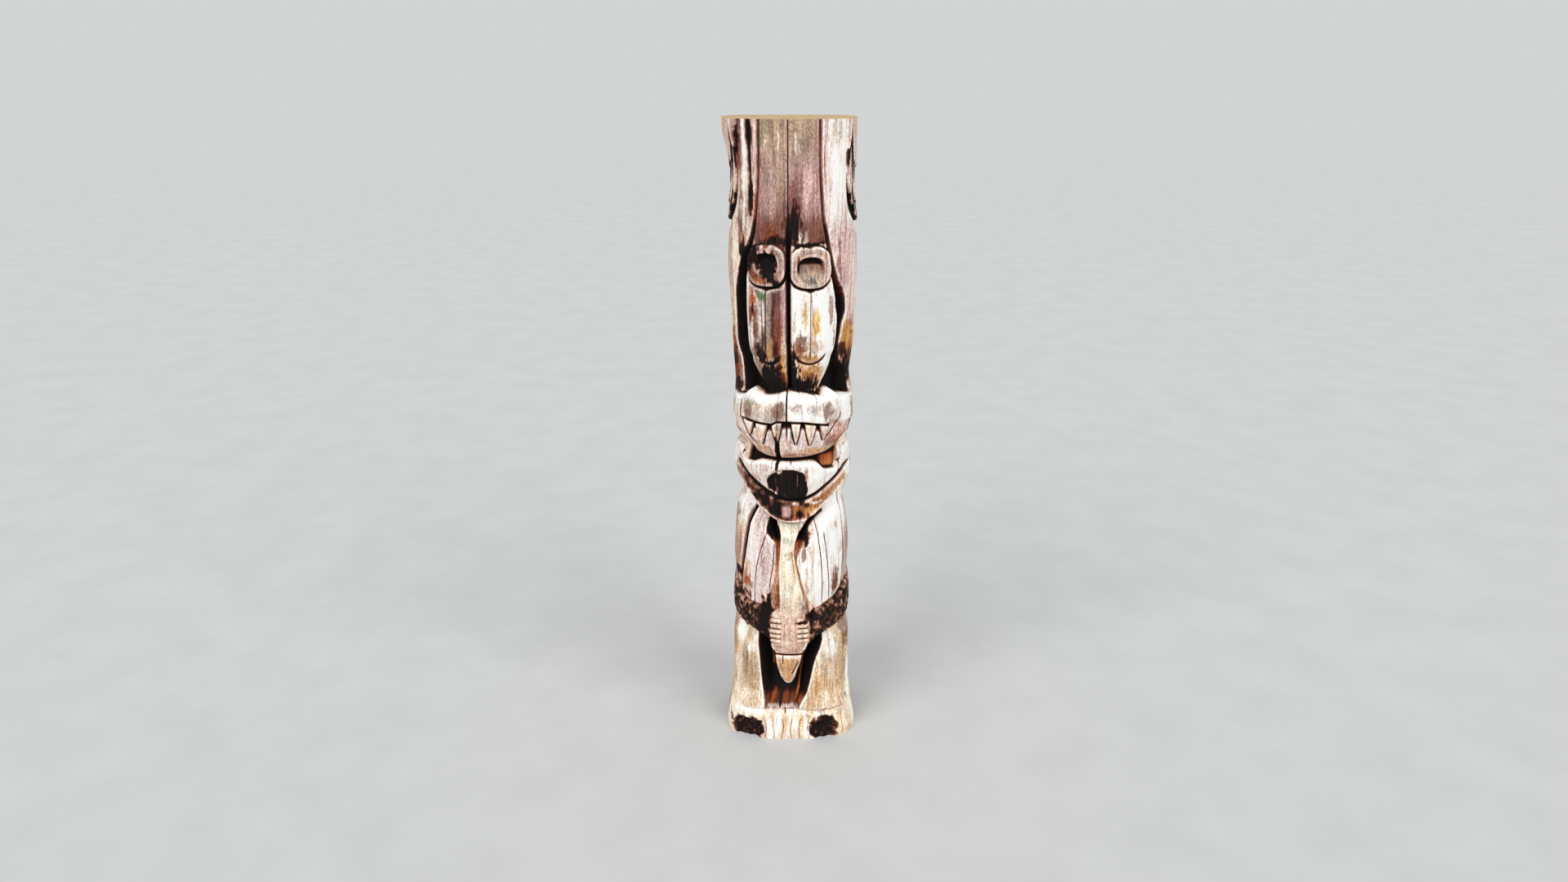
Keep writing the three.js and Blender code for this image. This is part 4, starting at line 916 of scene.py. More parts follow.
PATCHES = (
    # the panel and the top of the split
    ("soot", -2, 2985, 34, 80, 0.9), ("plum", 0, 3090, 40, 90, 0.9), ("soot", 6, 3040, 26, 70, 0.6),
    ("rust", -112, 2950, 28, 46, 1.0), ("soot", -85, 2905, 60, 22, 0.8), ("plum", 20, 3190, 26, 70, 0.5),
    ("white", 34, 2915, 10, 46, 0.8), ("cream", 62, 2910, 8, 44, 0.6), ("soot", 95, 2896, 70, 9, 1.0),
    ("green", -158, 3440, 14, 60, 0.5), ("cream", -140, 3400, 5, 34, 0.7),
    ("plum", -150, 2990, 24, 90, 0.4), ("cream", -70, 3395, 6, 34, 0.7), ("white", 14, 3380, 5, 40, 0.6),
    ("olive", -60, 3230, 26, 130, 0.5), ("brown", 120, 2970, 40, 70, 0.7),
    ("mauve", 110, 3330, 24, 110, 0.6), ("tan", -130, 3290, 30, 60, 0.3), ("brown", -60, 2990, 40, 70, 0.6),
    ("plum", 100, 3060, 34, 70, 0.4), ("rose", -120, 3150, 30, 100, 0.3),
    # the rolls
    ("cream", -286, 2880, 18, 190, 0.85), ("soot", -252, 2850, 16, 70, 1.0),
    ("rust", -252, 2975, 18, 70, 0.9), ("white", -246, 3030, 12, 60, 0.7),
    ("lilac", -292, 2720, 14, 60, 0.8), ("plum", -262, 2930, 10, 90, 0.5), ("rust", 246, 2540, 18, 50, 0.9),
    ("soot", 238, 2610, 16, 60, 1.0), ("plum", 238, 2720, 22, 110, 0.7), ("orange", 262, 2440, 34, 50, 0.9),
    ("rust", 252, 2370, 34, 60, 1.0), ("cream", 262, 2510, 26, 30, 0.7), ("ochre", 278, 2390, 26, 80, 0.9),
    ("soot", 252, 2330, 22, 40, 0.7), ("rust", 300, 2290, 22, 60, 0.8), ("soot", 280, 2220, 40, 70, 1.1),
    ("rust", -310, 2350, 18, 90, 1.0), ("rust", -300, 2210, 34, 90, 1.0), ("soot", -296, 2280, 12, 60, 0.8),
    ("soot", -280, 2130, 26, 40, 0.8), ("cream", -322, 2400, 10, 160, 0.8),
    ("cream", 324, 2450, 10, 200, 0.8), ("lilac", 300, 2700, 16, 160, 0.6),
    ("rose", 262, 2850, 26, 150, 0.5), ("brown", 232, 2800, 8, 120, 0.6),
    ("white", -240, 3300, 9, 200, 0.9), ("soot", -207, 3440, 11, 60, 1.1),
    ("soot", -207, 3130, 11, 60, 1.1), ("plum", -268, 3380, 12, 130, 1.0), ("soot", -274, 3430, 8, 70, 0.9),
    ("rose", -188, 3330, 7, 150, 0.8), ("orange", -190, 3080, 8, 60, 0.6),
    ("white", 245, 3250, 24, 130, 0.9), ("ivory", 292, 3150, 20, 70, 0.8),
    ("rose", 170, 3200, 14, 160, 0.6), ("olive", 200, 3430, 26, 60, 0.5), ("cream", -226, 3180, 8, 90, 0.8),
    # the left disc and lobe
    ("brown", -196, 2765, 34, 56, 0.9), ("rust", -204, 2745, 22, 50, 0.9),
    ("orange", -165, 2712, 26, 22, 0.8), ("mauve", -62, 2790, 12, 80, 0.7),
    ("mauve", -120, 2880, 50, 10, 0.8), ("soot", -198, 2846, 26, 34, 1.0),
    ("soot", -215, 2810, 12, 40, 0.8), ("soot", -92, 2712, 30, 22, 1.1), ("soot", -122, 2790, 38, 58, 1.0),
    ("plum", -150, 2800, 14, 20, 0.8), ("orange", -205, 2620, 20, 56, 1.0),
    ("rust", -202, 2530, 24, 60, 1.0), ("soot", -200, 2570, 12, 30, 0.7), ("soot", -188, 2440, 12, 60, 0.6),
    ("green", -152, 2640, 18, 44, 1.0), ("cream", -232, 2600, 6, 260, 1.0),
    ("white", -206, 2430, 16, 60, 0.8), ("rose", -48, 2600, 10, 120, 0.6), ("dark", -98, 2500, 7, 160, 0.9),
    ("rust", -74, 2400, 22, 110, 0.7), ("soot", -86, 2340, 14, 60, 0.6), ("lilac", -170, 2490, 14, 60, 0.8),
    ("ochre", -116, 2340, 8, 60, 0.8), ("tan", -48, 2340, 12, 90, 0.7), ("white", -146, 2550, 6, 70, 0.8),
    ("soot", -165, 2330, 30, 40, 0.8), ("dark", -155, 2400, 10, 60, 0.6), ("soot", -110, 2200, 56, 70, 1.2),
    ("ochre", -50, 2220, 18, 80, 0.9), ("rust", -56, 2160, 20, 50, 0.8), ("tan", -178, 2190, 6, 70, 0.9),
    ("soot", -130, 2135, 60, 30, 1.2), ("rust", -128, 2250, 10, 30, 0.6),
    ("brown", -176, 2680, 20, 20, 0.6),
    # the right disc and lobe
    ("plum", 10, 2740, 12, 60, 0.6), ("rose", 172, 2760, 12, 70, 0.6), ("soot", 28, 2785, 8, 40, 0.7),
    ("dark", 92, 2712, 3, 30, 1.0), ("dark", 112, 2705, 3, 34, 0.9), ("dark", 74, 2706, 3, 30, 0.8),
    ("gold", 60, 2560, 10, 60, 1.0), ("gold", 116, 2500, 22, 60, 1.0), ("ochre", 112, 2470, 16, 30, 0.8),
    ("brown", 34, 2385, 38, 40, 0.9), ("rust", 30, 2340, 34, 36, 0.9), ("tan", 110, 2370, 34, 34, 0.8),
    ("ochre", 80, 2300, 70, 30, 1.0), ("rust", 50, 2310, 30, 16, 0.7), ("mauve", 194, 2570, 9, 60, 0.9),
    ("grey", 5, 2450, 9, 90, 0.7), ("soot", 4, 2330, 10, 60, 0.7), ("ochre", 100, 2225, 66, 44, 1.0),
    ("soot", 60, 2150, 76, 40, 1.2), ("soot", 4, 2220, 26, 80, 1.1), ("rust", 106, 2190, 50, 26, 0.9),
    ("white", 176, 2220, 13, 130, 1.0), ("gold", 158, 2170, 12, 60, 0.8), ("ochre", 100, 2420, 14, 40, 0.4),
    # the muzzle, the teeth and the lip
    ("green", -208, 2060, 20, 34, 0.7), ("brown", -222, 2000, 20, 30, 0.8),
    ("brown", -70, 2030, 30, 50, 0.8), ("brown", 176, 2012, 24, 40, 0.8), ("grey", 20, 2035, 26, 20, 0.6),
    ("grey", 110, 2030, 30, 24, 0.6), ("white", -160, 2085, 50, 22, 0.9), ("green", -2, 1880, 8, 24, 1.0),
    ("rust", 215, 1840, 46, 34, 0.8), ("plum", 304, 1990, 10, 120, 0.8), ("brown", -60, 1940, 24, 20, 0.5),
    ("green", -296, 2030, 12, 60, 0.6), ("ochre", 130, 1795, 70, 16, 0.7),
    ("cream", -262, 1850, 14, 70, 0.6), ("white", 262, 2000, 24, 60, 0.8),
    ("orange", 240, 1880, 30, 50, 0.6), ("ochre", -150, 1795, 60, 14, 0.7), ("rust", 0, 1766, 110, 12, 0.8),
    ("rose", 225, 1950, 14, 70, 0.6), ("tan", -140, 2020, 30, 40, 0.5), ("rust", -250, 1850, 14, 40, 0.5),
    # the second head and its jaw
    ("ash", -30, 1700, 5, 26, 0.7), ("ash", 4, 1704, 4, 22, 0.7), ("ash", 40, 1702, 5, 24, 0.7),
    ("soot", -82, 1802, 11, 60, 1.0), ("soot", -82, 1712, 8, 26, 1.0), ("soot", -12, 1716, 5, 14, 0.6),
    ("orange", 70, 1640, 8, 50, 0.8), ("orange", -110, 1570, 10, 26, 0.8), ("ochre", -42, 1505, 30, 8, 1.0),
    ("soot", 50, 1500, 20, 20, 0.9), ("ochre", 85, 1450, 26, 30, 0.8), ("soot", 40, 1420, 14, 20, 0.8),
    ("soot", 80, 1480, 12, 12, 0.7), ("soot", 92, 1412, 12, 16, 0.6), ("white", -318, 1730, 14, 60, 0.9),
    ("white", 312, 1700, 16, 120, 0.9), ("rose", -300, 1700, 12, 30, 0.6),
    ("rose", -200, 1490, 26, 20, 0.6), ("white", -150, 1462, 16, 8, 0.8), ("white", -210, 1530, 24, 8, 0.8),
    ("white", 130, 1490, 30, 8, 0.8), ("brown", 60, 1460, 10, 20, 0.8),
    # the chest, the folded wings and the arms
    ("soot", -114, 1330, 20, 50, 1.0), ("soot", 82, 1290, 14, 50, 1.0), ("rust", 96, 1340, 14, 90, 0.9),
    ("rust", 62, 1200, 12, 60, 0.8), ("rust", -86, 900, 14, 110, 1.0), ("rust", -90, 1160, 6, 60, 0.6),
    ("orange", -258, 990, 30, 70, 1.0), ("soot", -256, 890, 20, 20, 0.6),
    ("lilac", -170, 1000, 40, 90, 0.5), ("rust", -300, 1390, 12, 40, 0.8),
    ("green", -316, 1330, 8, 60, 0.6), ("soot", -306, 1010, 16, 30, 1.0), ("brown", 240, 985, 18, 80, 1.0),
    ("tan", 110, 1150, 8, 160, 0.6), ("ochre", 10, 1060, 16, 90, 0.4), ("green", -30, 1250, 26, 24, 0.4),
    ("olive", -20, 1170, 30, 20, 0.6), ("white", -305, 1470, 20, 60, 0.9), ("tan", 82, 960, 10, 90, 0.7),
    ("cream", 120, 880, 12, 70, 0.8), ("brown", 70, 830, 22, 40, 0.8), ("brown", -160, 1130, 8, 60, 0.4),
    ("plum", -236, 1360, 10, 60, 0.6), ("ochre", -246, 1090, 16, 50, 0.6), ("soot", -150, 800, 24, 90, 1.2),
    ("soot", 120, 800, 36, 20, 1.0), ("soot", 190, 800, 30, 40, 0.5), ("tan", 130, 700, 26, 50, 0.8),
    ("tan", -270, 830, 12, 50, 0.7), ("soot", -215, 705, 60, 12, 0.7), ("cream", -140, 870, 16, 16, 0.7),
    ("soot", 58, 768, 30, 12, 0.8),
    # the face, the cavity, the legs and the foot
    ("soot", -140, 640, 22, 90, 1.2), ("soot", 150, 640, 20, 60, 1.2), ("white", 222, 560, 30, 66, 1.0),
    ("white", -286, 660, 16, 70, 1.0), ("white", -232, 570, 20, 30, 0.9), ("brown", 300, 640, 20, 100, 0.9),
    ("rose", 205, 690, 30, 30, 0.5), ("brown", -322, 600, 12, 90, 0.6), ("olive", -235, 400, 46, 120, 0.6),
    ("brown", -262, 520, 18, 60, 0.5), ("tan", 230, 440, 60, 60, 0.4), ("white", 205, 660, 16, 30, 0.7),
    ("cream", 160, 440, 30, 90, 0.5), ("ochre", 150, 330, 50, 110, 0.45), ("white", 322, 320, 12, 140, 1.0),
    ("cream", -306, 320, 12, 160, 0.8), ("rose", -60, 194, 80, 8, 0.8), ("orange", 50, 300, 12, 70, 0.9),
    ("orange", -120, 330, 8, 60, 0.7), ("soot", -74, 230, 6, 40, 1.0), ("soot", -44, 170, 4, 30, 0.7),
    ("white", -220, 160, 60, 16, 0.9), ("ochre", 60, 100, 10, 50, 0.7), ("white", 84, 60, 18, 50, 0.9),
    ("white", -120, 70, 24, 60, 0.9), ("brown", 96, 146, 16, 10, 0.6), ("ochre", 270, 155, 36, 24, 0.5),
    ("rust", -316, 60, 12, 26, 0.8), ("ochre", -40, 90, 14, 60, 0.5), ("brown", 160, 170, 50, 8, 0.4),
)


def add_patches(form, u, z, x):
    """Lays the patches on the front, with edges that are torn along the grain."""
    shift_x = 8 * noise(u, z, 30, 60, 11, 3)
    shift_z = 26 * noise(u, z, 40, 90, 12, 3)
    torn = 0.55 * noise(u, z, 7, 110, 13, 2) + 0.6 * noise(u, z, 13, 20, 14, 3)
    front = ease(560, 480, np.abs(u))
    undarkened = ease(1.0, 0.7, form[SOOT_AND_SHADE])
    edges = [(edge, z - edge(u)) for edge in (muzzle_top, muzzle_bottom, jaw_line)]
    for name, at_x, at_z, half_width, half_height, strength in PATCHES:
        rows = np.abs(z[:, 0] - at_z) < 1.6 * half_height + 50
        dx = (x[rows] + shift_x[rows] - at_x) / half_width
        dz = (z[rows] + shift_z[rows] - at_z) / half_height
        share = strength * ease(1.55, 0.65, np.hypot(dx, dz) + torn[rows]) * front[rows]
        for edge, over in edges:
            share *= ease(-3, 3, over[rows] * np.sign(at_z - edge(across(at_x))))
        # Soot-and-shade patches add soot and painted shade; the coloured ones, painted highlights among
        # them, are laid less where the wood is already dark.
        if name == "soot":
            form[SOOT_AND_SHADE, rows] += share * (1 - form[SOOT_AND_SHADE, rows])
        else:
            share *= undarkened[rows]
            form[TONE, rows] = mix(form[TONE, rows], tint(name), share)
            form[SOOT_AND_SHADE, rows] *= 1 - 0.3 * share


# Checks and cracks that weather opens along the grain, darkened inside with painted shade

CRACK_SEED = 17
CRACK_COUNT = 110


def add_cracks(form, u, z):
    random = np.random.default_rng(CRACK_SEED)
    for _ in range(CRACK_COUNT):
        at = random.uniform(-GIRTH / 2, GIRTH / 2)
        low = random.uniform(-100, HEIGHT - 150)
        long = random.uniform(90, 600)
        half_width = random.uniform(1.6, 2.8)
        depth = random.uniform(2.5, 7)
        wave, drift = random.uniform(2, 7), random.uniform(-12, 12)
        rows = (z[:, 0] > low) & (z[:, 0] < low + long)
        if not rows.any():
            continue
        along = (z[rows] - low) / long
        path = at + wave * np.sin(along * 7 + at) + drift * along
        line = bell(u[rows] - path, half_width) * np.sqrt(clamp(4 * along * (1 - along)))
        form[TALL, rows] -= depth * line
        form[SOOT_AND_SHADE, rows] = np.maximum(form[SOOT_AND_SHADE, rows], 0.55 * line)


# The whole carving: it fades out towards the plain back, where only the arms and wings go on

FRONT_START = 380
FRONT_END = 520
SIDE_ARM = 12
# Where the wide check at the back runs, as arc length, and how much the wings take off the log
BACK_CHECK = 905
CHECK_HALF_WIDTH = 8
CHECK_DEPTH = 26
WING_RISE = WING_STEP + 2 * FEATHER_STEP
# The rotten left disc, as x, z, half width and half height
ROTTEN_PLACE = (-150, 2770, 80, 90)
MOST_SOOT_AND_SHADE = 1.3
# The gap between the two heads: its ends, its floor and the plain strips on either side of it
GAP_LEFT = -250
GAP_RIGHT = 262
GAP_MIDDLE = -84
GAP_SIDES = -42
SIDE_STRIP = -10


def front_carving(u, z, x):
    form = upper_body(u, z, x)
    form = mix(form, muzzle(u, z, x), ease(5, -2, z - muzzle_top(u)))
    in_gap = within(across(GAP_LEFT), across(GAP_RIGHT), 5, u)
    strip = coat(SIDE_STRIP + 0.0 * u, shades("cream", ("tan", ease(-290, -270, x) * ease(0, -100, x))))
    right = ease(150, 190, x)
    clear = ease(140, 180, x)
    # The opening between the heads: black with painted shade in the middle; on the right an orange-brown
    # recess, with painted shade under the lip at its top.
    opening = coat(
        mix(GAP_MIDDLE, GAP_SIDES, ease(120, 240, np.abs(u - HEAD_MIDDLE))),
        shades("rust", ("orange", right), ("ochre", 0.5 * ease(1720, 1690, z) * right)),
        mix(1.2, 0.1, clear) + 0.8 * ease(1740, 1765, z) * clear,
    )
    form = mix(form, mix(strip, opening, in_gap), ease(3, -3, z - muzzle_bottom(u)))
    form = mix(form, second_head(u, z, x), ease(3, -3, z - head_top(u)))
    form = mix(form, lower_body(u, z, x), ease(3, -3, z - jaw_line(u)))
    return mix(form, foot(u, z, x), ease(4, -4, z - FOOT_TOP))


def plain_wood(u, z):
    """The uncarved sides and back: grey, streaked and stained by the weather."""
    streaks = noise(u, z, 46, 700, 31, 3)
    clouds = noise(u, z, 170, 330, 32, 3)
    return coat(0.0 * u, shades(
        "tan",
        ("grey", ease(-0.5, 0.5, noise(u, z, 200, 500, 33, 2))),
        ("cream", ease(0, 0.7, clouds + 0.5 * streaks)),
        ("mauve", 0.6 * ease(0.1, 0.6, noise(u, z, 110, 420, 34, 3))),
        ("brown", 0.8 * ease(0.15, 0.7, noise(u, z, 70, 500, 35, 3))),
        ("olive", 0.6 * ease(0.1, 0.7, noise(u, z, 130, 300, 36, 2))),
        ("green", 0.6 * ease(0.2, 0.8, noise(u, z, 120, 200, 37, 3) + 0.5 * ease(500, 0, z))),
    ), 0.5 * ease(0.2, 0.7, noise(u, z, 60, 600, 38, 3)) + 0.4 * ease(140, 0, z))


def smoothed(field, rows, columns):
    """A blur over so many rows and columns each way, which runs on round the back."""
    for axis, reach, edges in ((0, rows, "edge"), (1, columns, "wrap")) * 2:
        pad = [(0, 0), (0, 0)]
        pad[axis] = (reach + 1, reach)
        total = np.cumsum(np.pad(field, pad, mode=edges), axis=axis, dtype=float)
        window = 2 * reach + 1
        upper = [slice(None)] * 2
        lower = [slice(None)] * 2
        upper[axis] = slice(window, None)
        lower[axis] = slice(None, -window)
        field = (total[tuple(upper)] - total[tuple(lower)]) / window
    return field


def add_weather_and_shading(form, radius, u, z):
    """Dirt and painted shade in the hollows and on downward faces, pale edges and upper faces that are
    partly weathering and partly painted light, and uneven grey all over.
    """
    h = form[TALL]
    hollow = smoothed(h, 4, 4) - h
    broad = smoothed(h, 20, 20) - h
    slope = np.gradient(smoothed(radius + h, 2, 2), HEIGHT / ROWS, axis=0)
    steep = np.abs(np.gradient(h, axis=1)) / np.gradient(u, axis=1)
    gentle = ease(1.6, 0.7, steep) * ease(-30, -14, h)
    uneven = 1 + 0.14 * noise(u, z, 26, 260, 41, 3) + 0.12 * noise(u, z, 90, 150, 42, 3)
    form[TONE] *= uneven
    # Edges and upper faces turn pale: partly bleaching by the weather, partly painted light.
    worn = 0.5 * clamp(-hollow / 6 - 0.05) + 0.35 * clamp(-slope - 0.1)
    stain(form, 1.1 * tint("white"), worn * gentle)
    # Downward faces turn a deeper orange: painted shade.
    stain(form, 1.8 * tint("orange") * form[TONE], 0.35 * clamp(slope * 0.8))
    # Hollows and downward faces darken: painted shade, with some dirt.
    dirt_and_shade = 0.6 * clamp((hollow - 1.5) / 9) + 0.25 * clamp((broad - 8) / 34) + 0.15 * clamp(slope - 0.2)
    form[SOOT_AND_SHADE] += dirt_and_shade * ease(2.6, 1.2, steep)


def carve(angle, z):
    """The log's radius and its wood over a grid of angles and heights."""
    u = ARC_RADIUS * angle
    side = np.abs(u)
    radius = log_radius(angle, z) - WING_RISE * ease(280, 420, side) * ease(2990, 3190, z)
    x = radius * np.sin(angle)
    share = ease(FRONT_END, FRONT_START, side)
    form = mix(plain_wood(u, z), front_carving(u, z, x), share)
    add_patches(form, u, z, x)

    on_side_arm = arms(u, z) * (1 - share) * ease(660, 560, side)
    form[TALL] += SIDE_ARM * on_side_arm
    darkened(form, 0.6 * ease(0, 0.4, on_side_arm))
    add_wings(form, u, z)
    # The wide check at the back, blackened with painted shade.
    scored(form, u - BACK_CHECK, CHECK_HALF_WIDTH, CHECK_DEPTH, within(350, 2800, 250, z))
    add_weather_and_shading(form, radius, u, z)
    add_cracks(form, u, z)

    # What the weather and the tools left: grain ridges, adze facets, rough burnt arms and a rotten disc
    rough_arms = ease(0, 0.3, arms(u, z)) * ease(660, 560, side)
    at_x, at_z, half_width, half_height = ROTTEN_PLACE
    rotten = ease(1.2, 0.7, np.hypot((x - at_x) / half_width, (z - at_z) / half_height)) * clamp(form[SOOT_AND_SHADE])
    h = form[TALL]
    h += 0.55 * noise(u, z, 7, 240, 51, 2) + 0.9 * noise(u, z, 55, 80, 52, 2)
    h += 3.5 * rough_arms * noise(u, z, 14, 17, 53, 2)
    h -= 7 * rotten * (1 + noise(u, z, 18, 24, 54, 2))
    form[SOOT_AND_SHADE] = np.clip(form[SOOT_AND_SHADE], 0, MOST_SOOT_AND_SHADE)
    form[TONE] = np.clip(form[TONE], 0.003, 1.2)
    return radius + h, form


# The mesh: a fine grid, thinned where it is nearly flat

def column_angle(i):
    t = 2 * i / COLUMNS - 1
    return math.pi * (0.6 * t + 0.4 * t ** 3)


def grid_mesh(radius, angle, z):
    """Vertices and faces of the closed log: its side, and its two flat ends as rings."""
    side = np.stack([radius * np.sin(angle), -radius * np.cos(angle), z], axis=-1)
    ring = np.arange(COLUMNS)
    after = (ring + 1) % COLUMNS
    row = (np.arange(ROWS) * COLUMNS)[:, None]
    quads = np.stack([row + ring, row + after, row + COLUMNS + after, row + COLUMNS + ring], axis=-1)
    points = [side.reshape(-1, 3)]
    faces = [quads.reshape(-1, 4)]
    count = len(points[0])
    for rim, height, turned in ((0, 0.0, True), (ROWS * COLUMNS, HEIGHT, False)):
        edge = points[0][rim + ring]
        outer = rim + ring
        for k in range(1, CAP_RINGS):
            inner_points = edge * (1 - k / CAP_RINGS)
            inner_points[:, 2] = height
            points.append(inner_points)
            inner = count + ring
            count += COLUMNS
            quad = np.stack([outer, outer[after], inner[after], inner], axis=-1)
            faces.append(quad[:, ::-1] if turned else quad)
            outer = inner
        points.append(np.array([[0.0, 0.0, height]]))
        fan = np.stack([outer, outer[after], np.full(COLUMNS, count)], axis=-1)
        count += 1
        faces.append(fan[:, ::-1] if turned else fan)
    return np.concatenate(points), faces


def new_mesh(name, points, faces):
    mesh = bpy.data.meshes.new(name)
    sizes = np.concatenate([np.full(len(part), part.shape[1]) for part in faces])
    corners = np.concatenate([part.ravel() for part in faces])
    mesh.vertices.add(len(points))
    mesh.vertices.foreach_set("co", points.ravel())
    mesh.loops.add(len(corners))
    mesh.loops.foreach_set("vertex_index", corners.astype(np.int32))
    mesh.polygons.add(len(sizes))
    mesh.polygons.foreach_set("loop_start", np.concatenate([[0], np.cumsum(sizes)[:-1]]).astype(np.int32))
    mesh.update(calc_edges=True)
    mesh.validate()
    return mesh


def thinned(mesh, most):
    """The mesh with about this many triangles."""
    piece = bpy.data.objects.new("thinning", mesh)
    bpy.context.scene.collection.objects.link(piece)
    modifier = piece.modifiers.new("thin", "DECIMATE")
    mesh.calc_loop_triangles()
    modifier.ratio = most / len(mesh.loop_triangles)
    modifier.use_collapse_triangulate = True
    depsgraph = bpy.context.evaluated_depsgraph_get()
    thin = bpy.data.meshes.new_from_object(piece.evaluated_get(depsgraph))
    bpy.data.objects.remove(piece)
    return thin


def sampled(field, angles, heights):
    """Values of a grid field at any angles and heights."""
    table = np.append(column_angle(np.arange(COLUMNS)), math.pi)
    i = np.interp(angles, table, np.arange(COLUMNS + 1))
    j = np.clip(heights / HEIGHT * ROWS, 0, ROWS - 1e-6)
    i0, j0 = np.floor(i).astype(int), np.floor(j).astype(int)
    fi, fj = i - i0, j - j0
    low = mix(field[j0, i0 % COLUMNS], field[j0, (i0 + 1) % COLUMNS], fi)
    high = mix(field[j0 + 1, i0 % COLUMNS], field[j0 + 1, (i0 + 1) % COLUMNS], fi)
    return mix(low, high, fj)


def values_of(items, name):
    values = np.empty(3 * len(items))
    items.foreach_get(name, values)
    return values.reshape(-1, 3)


def make_pole():
    angle, z = np.meshgrid(column_angle(np.arange(COLUMNS)), np.linspace(0, HEIGHT, ROWS + 1))
    radius, form = carve(angle, z)

    # The paint stands out as relief while the mesh is thinned, so that its edges keep their vertices.
    brightness = form[TONE].mean(axis=0) * (1 - form[SOOT_AND_SHADE])
    away_from_ends = within(END_MARGIN, HEIGHT - END_MARGIN, END_MARGIN / 2, z)
    drawn = radius + PAINT_RELIEF * smoothed(brightness, 1, 1) * away_from_ends
    mesh = thinned(new_mesh("carved_cedar", *grid_mesh(drawn, angle, z)), MOST_TRIANGLES)
    where = values_of(mesh.vertices, "co")
    angles = np.arctan2(where[:, 0], -where[:, 1])
    on_side = (where[:, 2] > END_MARGIN / 4) & (where[:, 2] < HEIGHT - END_MARGIN / 4)
    reach = sampled(radius, angles, where[:, 2])[on_side]
    where[on_side, 0] = reach * np.sin(angles[on_side])
    where[on_side, 1] = -reach * np.cos(angles[on_side])
    where[~on_side, 2] = np.where(where[~on_side, 2] < HEIGHT / 2, 0, HEIGHT)
    low, high = np.array(CAD_BOX)
    mesh.vertices.foreach_set("co", np.clip(where * MM, low, high).ravel())

    paint = np.empty((len(where), 4), dtype=np.float32)
    for k in range(3):
        paint[:, k] = sampled(form[TONE][k], angles, where[:, 2])
    paint[:, 3] = sampled(form[SOOT_AND_SHADE], angles, where[:, 2])
    mesh.attributes.new("paint", "FLOAT_COLOR", "POINT").data.foreach_set("color", paint.ravel())

    mesh.update()
    upright_share = np.abs(values_of(mesh.polygons, "normal")[:, 2])
    from_middle = np.abs(values_of(mesh.polygons, "center")[:, 2] / MM - HEIGHT / 2)
    is_end = (upright_share > 0.98) & (from_middle > HEIGHT / 2 - 1)
    mesh.materials.append(weathered_cedar())
    mesh.materials.append(sawn_end())
    mesh.polygons.foreach_set("material_index", is_end.astype(np.int32))
    mesh.shade_smooth()
    mesh.set_sharp_from_angle(angle=SHARP_ANGLE)
    piece = bpy.data.objects.new("carved_cedar", mesh)
    bpy.context.scene.collection.objects.link(piece)
    return piece


# Materials

def flat(*colour):
    """A colour for a socket, from 0 to 255 values as they look on a screen."""
    return (*linear(colour), 1)


class Shader:
    """Builds one material's nodes."""

    def __init__(self, name):
        self.material = bpy.data.materials.new(name)
        self.material.use_nodes = True
        self.tree = self.material.node_tree
        self.tree.nodes.clear()
        self.place = self.node("ShaderNodeTexCoord").outputs["Object"]

    def node(self, kind, inputs=(), **settings):
        made = self.tree.nodes.new(kind)
        for key, value in settings.items():
            setattr(made, key, value)
        for key, value in dict(inputs).items():
            if isinstance(value, bpy.types.NodeSocket):
                self.tree.links.new(value, made.inputs[key])
            else:
                made.inputs[key].default_value = value
        return made

    def math(self, operation, a, b=0.0):
        return self.node("ShaderNodeMath", {0: a, 1: b}, operation=operation).outputs[0]

    def plus(self, a, b):
        return self.math("ADD", a, b)

    def times(self, a, b):
        return self.math("MULTIPLY", a, b)

    def stretched(self, scale):
        return self.node("ShaderNodeMapping", {"Vector": self.place, "Scale": scale}).outputs[0]

    def noise(self, vector, scale, detail=3.0, roughness=0.55, distortion=0.0):
        inputs = {"Vector": vector, "Scale": scale, "Detail": detail, "Roughness": roughness,
                  "Distortion": distortion}
        return self.node("ShaderNodeTexNoise", inputs).outputs["Fac"]

    def ranged(self, value, low, high, to_low=0.0, to_high=1.0):
        inputs = {"Value": value, "From Min": low, "From Max": high, "To Min": to_low, "To Max": to_high}
        return self.node("ShaderNodeMapRange", inputs, interpolation_type="SMOOTHSTEP").outputs[0]

    def mixed(self, share, a, b, blend="MIX"):
        made = self.node("ShaderNodeMix", {0: share, 6: a, 7: b}, data_type="RGBA", blend_type=blend)
        return made.outputs[2]

    def finish(self, colour, roughness, height, strength, distance):
        bump = self.node("ShaderNodeBump", {"Height": height, "Strength": strength, "Distance": distance})
        inputs = {"Base Color": colour, "Roughness": roughness, "Normal": bump.outputs[0],
                  "Specular IOR Level": 0.25}
        surface = self.node("ShaderNodeBsdfPrincipled", inputs)
        self.node("ShaderNodeOutputMaterial", {"Surface": surface.outputs[0]})
        return self.material


# The lightest wood, as linear red, green and blue
MOST_LIGHT = (0.93, 0.93, 0.93)


